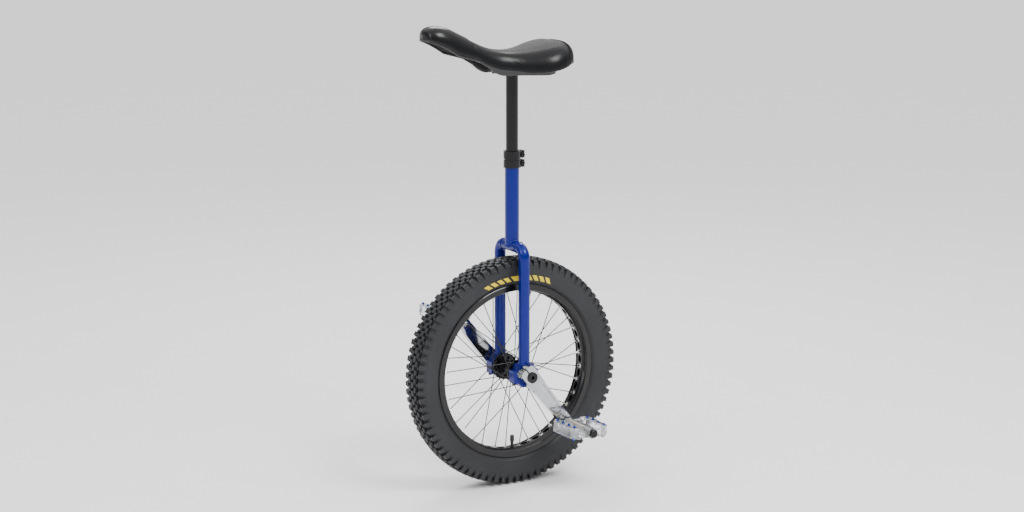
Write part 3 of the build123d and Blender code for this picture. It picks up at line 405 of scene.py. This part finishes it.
# Each row: its shift in pitches, distance from the middle, half length and half width in
# millimetres, lean in radians, and how far its top lies under the wheel's radius.
MIDDLE_ROWS = [(0.0, 6.3, 6.6, 5.0, 0.03, 0.25),
               (0.5, 15.6, 6.0, 3.4, 0.14, 1.4),
               (0.1, 21.6, 3.4, 2.6, 0.3, 3.6)]
rows = []
for way in (-1, 1):
    stagger = 0.0 if way > 0 else 0.5
    for shift, from_middle, half_long, half_wide, tilt, drop in MIDDLE_ROWS:
        rows.append(block_row(KNOBS, (stagger + shift) * PITCH, way * from_middle * MM,
                              half_long * MM, half_wide * MM, way * tilt,
                              WHEEL_RADIUS - drop * MM, TREAD_DEPTH))
print("block rows", len(rows), "of", KNOBS)

# %% [markdown]
# Shoulder knobs are prisms across the tread: their section runs over the shoulder and down the
# sidewall as a buttress, and every other one reaches further down, which leaves the dark wedges
# between them.


# %% Shoulder knobs
def shoulder_row(count, phase, way, foot, half_long):
    """Buttressed knobs round the tyre.

    A knob is a closed section of radius and side, drawn out along the tread by a half length that
    is its own at each corner of the section.
    """
    radius = WHEEL_RADIUS - np.array([4.6, 4.9, 7.6, 12.5, foot * 0.7, foot, foot, 13.0]) * MM
    side = way * (TYRE_HALF - np.array([7.4, 1.7, 0.35, 0.05, 0.7, 3.0, 6.0, 12.0]) * MM)
    flare = np.array([0.9, 0.88, 0.95, 1.0, 0.86, 0.6, 0.6, 1.1])
    angles = phase + 2 * np.pi * np.arange(count) / count
    half = half_long * flare / WHEEL_RADIUS
    ends = np.stack([angles[:, None] - half, angles[:, None] + half], 1)
    points = around(radius[None, None], side[None, None], ends)
    corners = len(radius)
    faces = []
    for knob in range(count):
        start = knob * 2 * corners
        faces += grid_faces(2, corners, False, True, start)
        faces.append([start + k for k in range(corners)])
        faces.append([start + corners + corners - 1 - k for k in range(corners)])
    return points.reshape(-1, 3), faces


LONG_FOOT, SHORT_FOOT = 27.0, 21.5      # millimetres below the wheel's radius
for way in (-1, 1):
    stagger = 0.25 if way > 0 else 0.75
    rows.append(shoulder_row(KNOBS // 2, stagger * PITCH, way, LONG_FOOT, 6.4 * MM))
    rows.append(shoulder_row(KNOBS // 2, (stagger + 1) * PITCH, way, SHORT_FOOT, 5.4 * MM))
tread = outward(mesh_object("tread_blocks", *gather(rows)))
smooth_by_angle(tread, 30)
knob_edge = tread.modifiers.new("edge", "BEVEL")
knob_edge.width, knob_edge.segments, knob_edge.limit_method = 0.45 * MM, 1, "ANGLE"
paint(tread, tyre_rubber)
for piece in (carcass, tread):
    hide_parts("tyre")
    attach(piece, "wheel")
print("tread faces", len(tread.data.polygons))

# %% [markdown]
# A yellow mark is moulded on each sidewall over the top of the wheel. A plain row of slanted bars
# stands here in place of any word. Each bar is a small grid laid just over the carcass profile, and
# a Solidify modifier gives it half a millimetre of thickness, shared between its two sides.

# %% Sidewall marks
outer_half = slice(4, 34)       # the profile's points from the rim's edge to the tread
order = np.argsort(profile_r[outer_half])
sidewall_r = profile_r[outer_half][order]
sidewall_y = profile_y[outer_half][order]
BAR_INNER, BAR_OUTER = RIM_RADIUS + 9.5 * MM, RIM_RADIUS + 21.0 * MM
bar_centres = np.radians(90 + np.array([-21, -16.5, -12, -7.5, 0, 7.5, 12, 16.5, 21]))
bar_halves = np.radians([1.5, 1.5, 1.5, 1.5, 4.0, 1.5, 1.5, 1.5, 1.5])
SLANT = np.radians(1.3)
BAR_PROUD, BAR_THICKNESS = 0.2 * MM, 0.5 * MM
BAR_ROWS, BAR_COLUMNS = 7, 6
marks = []
for way in (-1, 1):
    for centre, half in zip(bar_centres, bar_halves):
        u, v = np.meshgrid(np.linspace(-1, 1, BAR_ROWS), np.linspace(0, 1, BAR_COLUMNS),
                           indexing="ij")
        radius = BAR_INNER + (BAR_OUTER - BAR_INNER) * v
        angle = centre + half * u - way * SLANT * (2 * v - 1)
        height = np.interp(radius, sidewall_r, sidewall_y) + BAR_PROUD
        marks.append((around(radius, way * height, angle).reshape(-1, 3),
                      grid_faces(BAR_ROWS, BAR_COLUMNS)))
sidewall_marks = mesh_object("sidewall_marks", *gather(marks))
work = bmesh.new()
work.from_mesh(sidewall_marks.data)
for face in work.faces:
    face.normal_update()
    if face.normal.y * face.calc_center_median().y < 0:
        face.normal_flip()
work.to_mesh(sidewall_marks.data)
work.free()
skin = sidewall_marks.modifiers.new("skin", "SOLIDIFY")
skin.thickness, skin.offset = BAR_THICKNESS, 0.0
paint(sidewall_marks, hot_yellow)
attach(sidewall_marks, "wheel")
print("sidewall bars", len(marks))

# %% [markdown]
# Weld beads join the tubes. A bead is a stack of overlapping ripples: a ring whose tube thickness
# rises and falls as it goes round. The ring follows whatever curve the joint makes.


# %% Weld beads
BEAD_STEPS, BEAD_SIDES = 160, 10
LEG_BEAD, CROWN_BEAD, TUBE_BEAD = 2.4 * MM, 1.3 * MM, 2.2 * MM


def bead_along(name, centres, thickness, ripples, body, material):
    """A closed tube of varying thickness along a closed line of points.

    The centre line is an array of points. At each, a circle of the bead's thickness, rippled by a
    rectified sine, stands square to the line.
    """
    count = len(centres)
    forward = np.roll(centres, -1, 0) - np.roll(centres, 1, 0)
    forward /= np.linalg.norm(forward, axis=1)[:, None]
    middle = centres.mean(0)
    out = centres - middle
    out -= (out * forward).sum(1)[:, None] * forward
    out /= np.linalg.norm(out, axis=1)[:, None]
    up = np.cross(forward, out)
    ring = np.linspace(0, 2 * np.pi, BEAD_SIDES, endpoint=False)
    phase = np.arange(count) / count
    size = thickness * (0.82 + 0.18 * np.abs(np.sin(np.pi * ripples * phase)))
    spokes_of_ring = (np.cos(ring)[None, :, None] * out[:, None]
                      + np.sin(ring)[None, :, None] * up[:, None])
    points = centres[:, None] + size[:, None, None] * spokes_of_ring
    bead = outward(mesh_object(name, points, grid_faces(count, BEAD_SIDES, True, True)))
    paint(bead, material)
    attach(bead, body)
    return bead


circle = np.linspace(0, 2 * np.pi, BEAD_STEPS, endpoint=False)
tube_low, tube_high = (np.array(corner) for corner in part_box("frame_seat_tube"))
tube_r = (tube_high[0] - tube_low[0]) / 2
crown_low, crown_high = (np.array(corner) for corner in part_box("frame_crown"))
crown_r = (crown_high[0] - crown_low[0]) / 2
crown_z = (crown_high[2] + crown_low[2]) / 2
for side, way in (("left", 1), ("right", -1)):
    leg_low, leg_high = (np.array(corner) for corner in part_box(f"{side}_fork_leg"))
    leg_r = (leg_high[0] - leg_low[0]) / 2
    leg_y = (leg_high[1] - leg_r) if way > 0 else (leg_low[1] + leg_r)
    foot = np.stack([leg_r * np.cos(circle), leg_y + leg_r * np.sin(circle),
                     np.full(BEAD_STEPS, leg_low[2] + 1.0 * MM)], -1)
    bead_along(f"{side}_leg_weld", foot, LEG_BEAD, 34, "frame", frame_blue)
    joint = np.stack([crown_r * np.cos(circle), np.full(BEAD_STEPS, way * crown_high[1]),
                      crown_z + crown_r * np.sin(circle)], -1)
    bead_along(f"{side}_crown_weld", joint, CROWN_BEAD, 34, "frame", frame_blue)
cope_x, cope_y = tube_r * np.cos(circle), tube_r * np.sin(circle)
drop = np.sqrt(np.maximum(crown_r**2 - cope_x**2, 0.0))
cope_z = crown_z + np.maximum(drop, -2 * MM) + 0.4 * MM
cope = np.stack([cope_x * 1.01, cope_y * 1.01, cope_z], -1)
bead_along("seat_tube_weld", cope, TUBE_BEAD, 44, "frame", frame_blue)
print("weld beads round tubes of radius", leg_r, crown_r, tube_r)

# %% [markdown]
# The saddle is foam on a stiff base, under a coated cover: smooth sides, a grippy middle, a hard
# handle in front and a hard bumper behind. Rays shot at the plain CAD solid give its top, its sides,
# its skirt and the hollow underneath, so the soft form fills the same space. A straight ramp across
# each seam takes out the step between two pieces.


# %% Measure the saddle
SIDE_DROPS = (15 * MM, 20 * MM, 25 * MM, 30 * MM)    # heights under the top where the sides are felt
WALL_SHARES = (0.3, 0.5, 0.7, 0.9)                   # places across the wall where the skirt is felt


def tree_of(node):
    """A tree of a node's triangles, which rays can be shot at."""
    mesh = nodes[node].data
    return BVHTree.FromPolygons([v.co[:] for v in mesh.vertices],
                                [p.vertices[:] for p in mesh.polygons])


def hit(tree, start, direction, fallback):
    """Where a ray meets the triangles, or the fallback when it misses them."""
    place, _, _, _ = tree.ray_cast(Vector(start), Vector(direction))
    return fallback if place is None else place


def stations(node, count, trim, wall):
    """Top, half width, skirt and hollow of a saddle piece at even steps along X."""
    low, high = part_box(node)
    tree = tree_of(node)
    x = np.linspace(low[0] + trim, high[0] - trim, count)
    far = 1.0
    top = np.array([hit(tree, (s, 0, far * 2), (0, 0, -1), Vector((0, 0, high[2]))).z for s in x])
    half, skirt, hollow = [], [], []
    for s, t in zip(x, top):
        side = max(
            hit(tree, (s, far, t - drop), (0, -1, 0), Vector((0, 0, 0))).y
            for drop in SIDE_DROPS
        )
        half.append(side)
        missed = Vector((0, 0, np.inf))
        skirt.append(min(hit(tree, (s, side - wall * part, 0), (0, 0, 1), missed).z
                         for part in WALL_SHARES))
        hollow.append(hit(tree, (s, 0, 0), (0, 0, 1), missed).z)

    def mended(values):
        """Fill stations that the rays missed, then take the middle one of every five."""
        values = np.array(values)
        good = np.isfinite(values)
        values = np.pad(np.interp(x, x[good], values[good]), 2, mode="edge")
        return np.median(np.lib.stride_tricks.sliding_window_view(values, 5), axis=1)

    return x, top, np.array(half), mended(skirt), mended(hollow)


bumper_form = stations("rear_bumper", 24, 0.3 * MM, 6 * MM)
pad_form = stations("saddle_pad", 56, 0.6 * MM, 7 * MM)
handle_form = stations("front_handle", 36, 0.3 * MM, 8 * MM)
joins = np.cumsum([len(bumper_form[0]), len(pad_form[0])])
spine = [np.concatenate(parts) for parts in zip(bumper_form, pad_form, handle_form)]
spine_x = spine[0]
near_seam = ((np.abs(spine_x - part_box("front_handle")[0][0]) < 22 * MM)
             | (np.abs(spine_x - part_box("saddle_pad")[0][0]) < 9 * MM))
spine = [spine_x] + [np.interp(spine_x, spine_x[~near_seam], values[~near_seam])
                     for values in spine[1:]]
_, spine_top, spine_half, spine_skirt, _ = spine
bumper_form, pad_form, handle_form = zip(*(np.split(values, joins) for values in spine))
pad_x, pad_top, pad_half, pad_skirt, pad_hollow = pad_form
print("saddle from", spine_x[0], "to", spine_x[-1], "in", len(spine_x), "stations")

# %% [markdown]
# One section function serves all three shells: over the top goes a rounded arch, a superellipse whose
# exponent sets how square it is, and back underneath goes a flatter one, which leaves the hollow.

# %% Shell sections
OVER, UNDER = 45, 27        # points over the top and back underneath
HOLLOW_SQUARE = 7.0


def shell_sections(x, top, half, skirt, hollow, wall, square):
    """Closed loops across the saddle: a superellipse arch outside, a boxier one inside.

    For each station the outer arch goes from one skirt edge over the top to the other, and the
    inner arch comes back under it, a wall thinner and no higher than the hollow.
    """
    def arch(count, exponent):
        angle = np.linspace(0, np.pi, count)
        cosine, sine = np.cos(angle), np.sin(angle)
        return np.sign(cosine) * np.abs(cosine) ** (2 / exponent), np.abs(sine) ** (2 / exponent)

    across, rise = arch(OVER, square)
    shoulder = skirt + 1.0 * MM
    outer = np.stack(np.broadcast_arrays(
        x[:, None], half[:, None] * across,
        shoulder[:, None] + (top - shoulder)[:, None] * rise), -1)
    across, rise = arch(UNDER, HOLLOW_SQUARE)
    inner_half = np.maximum(half - wall, half * 0.3)
    inner = np.stack(np.broadcast_arrays(
        x[:, None], inner_half[:, None] * across[::-1],
        skirt[:, None] + (hollow - skirt)[:, None] * rise[::-1]), -1)
    return np.concatenate([outer, inner], 1)


def slant(loops, seam, top_shift, bottom_shift, fade):
    """Lean the loops near a seam by sliding their points along the saddle's own surface.

    The shift of a point is (bottom + (top - bottom) * height share) and fades evenly to nothing at
    the fade distance from the seam. Height and width follow the saddle's form at the new place.
    The nose ends in a line of no width, so the old width is kept above zero in the division.
    """
    x, y, z = np.moveaxis(loops, -1, 0)

    def form(values, where):
        return np.interp(where, spine_x, values)

    low, tall = form(spine_skirt, x), form(spine_top, x) - form(spine_skirt, x)
    share = (z - low) / tall
    near = np.clip(1 - np.abs(x - seam) / fade, 0, 1)
    new_x = x + near * (bottom_shift + (top_shift - bottom_shift) * np.clip(share, 0, 1))
    new_low, new_top = form(spine_skirt, new_x), form(spine_top, new_x)
    new_y = y * form(spine_half, new_x) / np.maximum(form(spine_half, x), 1e-9)
    return np.stack([new_x, new_y, new_low + share * (new_top - new_low)], -1)


FRONT_SEAM = dict(seam=float(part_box("front_handle")[0][0]), top_shift=-7 * MM,
                  bottom_shift=-34 * MM, fade=75 * MM)
REAR_SEAM = dict(seam=float(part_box("saddle_pad")[0][0]), top_shift=-9 * MM,
                 bottom_shift=7 * MM, fade=24 * MM)


def shell(name, loops):
    """Mesh of closed loops, with both end loops closed by strips between arch and hollow."""
    count, around_count = loops.shape[:2]
    faces = grid_faces(count, around_count, False, True)
    last = (count - 1) * around_count
    outer = np.arange(OVER)
    inner = OVER + np.round(np.linspace(UNDER - 1, 0, OVER)).astype(int)
    for base in (0, last):
        for k in range(OVER - 1):
            corners = [base + outer[k], base + outer[k + 1], base + inner[k + 1], base + inner[k]]
            faces.append(list(dict.fromkeys(int(c) for c in corners)))
    return outward(mesh_object(name, loops, faces))


print("seams at", FRONT_SEAM["seam"], "and", REAR_SEAM["seam"])


# %% [markdown]
# The cover is drawn tight over foam, so it swells a little between its seams. Cloth with a gentle
# pressure does that: the skirt and the hollow are pinned, the top is free, twenty frames are stepped,
# and no point may move more than a few millimetres. The result is written back to the mesh. Its ends
# tuck a little way into the hard shells, so no light passes through the seams.

# %% Saddle pad
FOAM_UNDER_TOP, FOAM_INSET, FOAM_WALL = 2.0 * MM, 1.2 * MM, 6 * MM
TUCK = 3.0 * MM
foam = shell_sections(pad_x, pad_top - FOAM_UNDER_TOP, pad_half - FOAM_INSET, pad_skirt,
                      pad_hollow, FOAM_WALL, 2.7)
foam[0, :, 0] -= TUCK
foam[-1, :, 0] += TUCK
foam = slant(slant(foam, **FRONT_SEAM), **REAR_SEAM)
pad = shell("saddle_pad_cover", foam)
rest = np.array([v.co[:] for v in pad.data.vertices])
SWELL_LIMIT = 4.0 * MM


def swell(piece, pressure, frames, limit, pinned):
    """Blow a closed piece up as cloth, cap how far each point moves, and keep the result."""
    scene = bpy.context.scene
    group = piece.vertex_groups.new(name="pinned")
    group.add([int(i) for i in np.nonzero(pinned)[0]], 1.0, "REPLACE")
    cloth = piece.modifiers.new("foam", "CLOTH")
    cloth.settings.quality = 6
    cloth.settings.mass = 0.25
    cloth.settings.tension_stiffness = cloth.settings.compression_stiffness = 18.0
    cloth.settings.bending_stiffness = 0.6
    cloth.settings.use_pressure = True
    cloth.settings.uniform_pressure_force = pressure
    cloth.settings.vertex_group_mass = "pinned"
    cloth.settings.effector_weights.gravity = 0.0
    cloth.collision_settings.use_collision = False
    cloth.point_cache.frame_start, cloth.point_cache.frame_end = 1, frames
    before = np.array([v.co[:] for v in piece.data.vertices])
    for step in range(1, frames + 1):
        scene.frame_set(step)
    evaluated = piece.evaluated_get(bpy.context.evaluated_depsgraph_get())
    after = np.array([v.co[:] for v in evaluated.data.vertices])
    move = after - before
    length = np.linalg.norm(move, axis=1)[:, None]
    move *= np.minimum(1.0, limit / np.maximum(length, 1e-9))
    piece.modifiers.remove(cloth)
    piece.vertex_groups.remove(group)
    piece.data.vertices.foreach_set("co", (before + move).ravel())
    piece.data.update()
    scene.frame_set(1)
    furthest = float(np.linalg.norm(move, axis=1).max()) / MM
    print(piece.name, "swelled by up to", round(furthest, 2), "mm")


inside = np.abs(rest[:, 1]) < np.interp(rest[:, 0], pad_x, pad_half) - 5 * MM
below = rest[:, 2] < np.interp(rest[:, 0], pad_x, pad_skirt) + 8 * MM
under = inside & (rest[:, 2] < np.interp(rest[:, 0], pad_x, pad_hollow) + 1 * MM)
at_end = (rest[:, 0] < pad_x[0] + 2 * MM) | (rest[:, 0] > pad_x[-1] - 2 * MM)
FRAMES, PRESSURE = 20, 3.0
swell(pad, PRESSURE, FRAMES, SWELL_LIMIT, below | under | at_end)
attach(pad, "saddle")
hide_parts("saddle_pad")

# %% [markdown]
# The cover has two materials. The sides are smooth coated cloth with a low sheen; the middle is
# embossed with small staggered dots that grip. The dots are a bump made from sines of the saddle's
# own length and width, and the panel each face belongs to follows its place across the saddle.

# %% Cover materials
side_vinyl = finish("saddle_side_vinyl", (0.004, 0.0042, 0.005), 0.3, variation=0.14,
                    bump=0.00005, bump_scale=520.0, Specular_IOR_Level=0.22)
grip_cloth = finish("saddle_grip_cloth", (0.0075, 0.0078, 0.0085), 0.55, variation=0.18,
                    Specular_IOR_Level=0.24)
DOT_PITCH, DOT_DEPTH = 3.4 * MM, 0.3 * MM


def emboss_dots(material, pitch, depth):
    """Staggered round dots as a bump: the product of two sines turned by 45 degrees."""
    tree = material.node_tree
    shader = tree.nodes["Principled BSDF"]
    place = tree.nodes.new("ShaderNodeTexCoord")
    turned = tree.nodes.new("ShaderNodeMapping")
    turned.inputs["Rotation"].default_value = (0, 0, np.pi / 4)
    turned.inputs["Scale"].default_value = (2 * np.pi / pitch,) * 3
    tree.links.new(place.outputs["Object"], turned.inputs["Vector"])
    axes = tree.nodes.new("ShaderNodeSeparateXYZ")
    tree.links.new(turned.outputs["Vector"], axes.inputs["Vector"])
    waves = []
    for axis in ("X", "Y"):
        wave = tree.nodes.new("ShaderNodeMath")
        wave.operation = "SINE"
        tree.links.new(axes.outputs[axis], wave.inputs[0])
        waves.append(wave.outputs[0])
    product = tree.nodes.new("ShaderNodeMath")
    product.operation = "MULTIPLY"
    tree.links.new(waves[0], product.inputs[0])
    tree.links.new(waves[1], product.inputs[1])
    bump = tree.nodes.new("ShaderNodeBump")
    bump.inputs["Distance"].default_value = depth
    tree.links.new(product.outputs[0], bump.inputs["Height"])
    tree.links.new(bump.outputs["Normal"], shader.inputs["Normal"])


emboss_dots(grip_cloth, DOT_PITCH, DOT_DEPTH)
pad.data.materials.clear()
pad.data.materials.append(side_vinyl)
pad.data.materials.append(grip_cloth)
centres = np.array([p.center[:] for p in pad.data.polygons])
facing = np.array([p.normal[:] for p in pad.data.polygons])
panel = spline([pad_x[0], -0.06, 0.0, 0.06, pad_x[-1]], [0.062, 0.055, 0.034, 0.024, 0.022],
               centres[:, 0])
middle = (np.abs(centres[:, 1]) < panel) & (facing[:, 2] > 0.2)
pad.data.polygons.foreach_set("material_index", middle.astype(np.int32))
soft = pad.modifiers.new("soft", "SUBSURF")
soft.levels = soft.render_levels = 2
print("grip panel faces", int(middle.sum()), "of", len(middle))

# %% [markdown]
# The handle and the bumper are hard shells that wrap the ends of the pad. They use the same section
# function on their own stations, so all three pieces share one outline.


# %% Hard shells of the saddle
def hard_shell(node, form, wall, square, name, seam):
    """A moulded shell from its own stations, slanted at its seam and smoothed once."""
    piece = shell(name, slant(shell_sections(*form, wall, square), **seam))
    smooth = piece.modifiers.new("soft", "SUBSURF")
    smooth.levels = smooth.render_levels = 1
    paint(piece, gloss_plastic)
    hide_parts(node)
    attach(piece, "saddle")
    return piece


hard_shell("front_handle", handle_form, 8 * MM, 2.5, "handle_shell", FRONT_SEAM)
hard_shell("rear_bumper", bumper_form, 6 * MM, 2.8, "bumper_shell", REAR_SEAM)
print("handle stations", len(handle_form[0]), "bumper stations", len(bumper_form[0]))

# %% [markdown]
# Under the skirt the edge of the stiff base shows as a thin dark lip that runs down one side, round
# the handle and back up the other. It is deepest by the post, where it hides the post's plate.

# %% Base lip
LIP_HANG, LIP_INSET, LIP_HALF_WIDTH = 5.0 * MM, 4.6 * MM, 1.8 * MM
lip_x = np.concatenate([np.linspace(-0.06, 0.2, 56), np.linspace(0.2, spine_x[-1], 20)[1:]])
lip_top = np.interp(lip_x, spine_x, spine_skirt) + 2.0 * MM
plate_low = float(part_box("saddle_bolts")[0][2]) + 0.3 * MM
deep = np.interp(lip_x, [-0.06, -0.045, 0.045, 0.08], [0.0, 1.0, 1.0, 0.0])
lip_low = (1 - deep) * (lip_top - LIP_HANG) + deep * plate_low
lip_half = np.interp(lip_x, spine_x, spine_half) - LIP_INSET
side_line = np.stack([lip_x, lip_half, (lip_top + lip_low) / 2], -1)
line = np.concatenate([side_line, (side_line * [1, -1, 1])[::-1]])
rise = np.concatenate([(lip_top - lip_low) / 2, ((lip_top - lip_low) / 2)[::-1]])
along = np.gradient(line, axis=0)
along[:, 2] = 0.0
along /= np.linalg.norm(along, axis=1)[:, None]
sideways = np.stack([along[:, 1], -along[:, 0], np.zeros(len(line))], -1)
lip_section = np.array([(-1, -0.8), (-0.7, -1), (0.7, -1), (1, -0.8),
                        (1, 0.8), (0.7, 1), (-0.7, 1), (-1, 0.8)])
lip_points = (line[:, None] + LIP_HALF_WIDTH * lip_section[None, :, :1] * sideways[:, None]
              + rise[:, None, None] * lip_section[None, :, 1:] * np.array([0, 0, 1.0]))
lip_faces = grid_faces(len(line), 8, False, True)
lip_faces += [list(range(8)), list(range((len(line) - 1) * 8, len(line) * 8))]
lip = outward(mesh_object("saddle_base_lip", lip_points, lip_faces))
smooth_by_angle(lip, 50)
paint(lip, dull_plastic)
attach(lip, "saddle")
print("lip points", lip_points.shape)

# %% [markdown]
# The object is finished. What is left is the studio: a pale floor, a soft white tent overhead that
# darkens towards the horizon, so polished metal and gloss paint have something to reflect, and three
# lamps: a key at the front left, a fill from the right and one behind for the edges.

# %% Studio
world = bpy.data.worlds.new("studio")
bpy.context.scene.world = world
world.use_nodes = True
sky = world.node_tree.nodes["Background"]
direction = world.node_tree.nodes.new("ShaderNodeTexCoord")
height = world.node_tree.nodes.new("ShaderNodeSeparateXYZ")
tent = world.node_tree.nodes.new("ShaderNodeValToRGB")
world.node_tree.links.new(direction.outputs["Generated"], height.inputs["Vector"])
world.node_tree.links.new(height.outputs["Z"], tent.inputs["Fac"])
world.node_tree.links.new(tent.outputs["Color"], sky.inputs["Color"])
tent.color_ramp.elements[0].position = 0.02
tent.color_ramp.elements[0].color = (0.24, 0.245, 0.25, 1)
tent.color_ramp.elements[1].position = 0.75
tent.color_ramp.elements[1].color = (1.0, 1.0, 1.0, 1)
low_wall = tent.color_ramp.elements.new(0.3)
low_wall.color = (0.26, 0.265, 0.27, 1)
sky.inputs["Strength"].default_value = 1.9

FLOOR_HALF = 40.0
floor_material = finish("pale_floor", (0.86, 0.86, 0.86), 0.7, variation=0.01)
floor = mesh_object("floor", np.array([(-1, -1, 0), (1, -1, 0), (1, 1, 0), (-1, 1, 0)]) * FLOOR_HALF,
                    [(0, 1, 2, 3)])
paint(floor, floor_material)


def area_light(name, azimuth, elevation, distance, size, power, aim):
    """A square lamp that looks at the aim from a direction given in degrees."""
    a, e = np.radians(azimuth), np.radians(elevation)
    back = Vector((np.sin(a) * np.cos(e), -np.cos(a) * np.cos(e), np.sin(e)))
    lamp = bpy.data.objects.new(name, bpy.data.lights.new(name, "AREA"))
    lamp.data.size = size
    lamp.data.energy = power
    lamp.location = aim + back * distance
    lamp.rotation_euler = (-back).to_track_quat("-Z", "Y").to_euler()
    bpy.context.scene.collection.objects.link(lamp)
    return lamp


middle_point = Vector((0, 0, 0.52))
# Each lamp: name, azimuth, elevation, distance in metres, width in metres, power in watts.
LAMPS = [("key", 195, 48, 3.0, 1.1, 75), ("fill", 100, 30, 3.2, 1.4, 32),
         ("back", 330, 45, 3.0, 1.2, 40)]
for lamp in LAMPS:
    area_light(*lamp, middle_point)
print("lamps", len(LAMPS))

# %% [markdown]
# The camera looks from the front left, a little above the hub, through a long lens, so the wheel
# stays round and the legs stay upright.

# %% Camera
AZIMUTH, ELEVATION, DISTANCE, LENS = np.radians(149), np.radians(11.5), 4.5, 71.0
back = Vector((np.sin(AZIMUTH) * np.cos(ELEVATION), -np.cos(AZIMUTH) * np.cos(ELEVATION),
               np.sin(ELEVATION)))
camera = bpy.data.objects.new("camera", bpy.data.cameras.new("camera"))
camera.data.lens = LENS
camera.location = middle_point + back * DISTANCE
camera.rotation_euler = (-back).to_track_quat("-Z", "Y").to_euler()
bpy.context.scene.collection.objects.link(camera)
bpy.context.scene.camera = camera
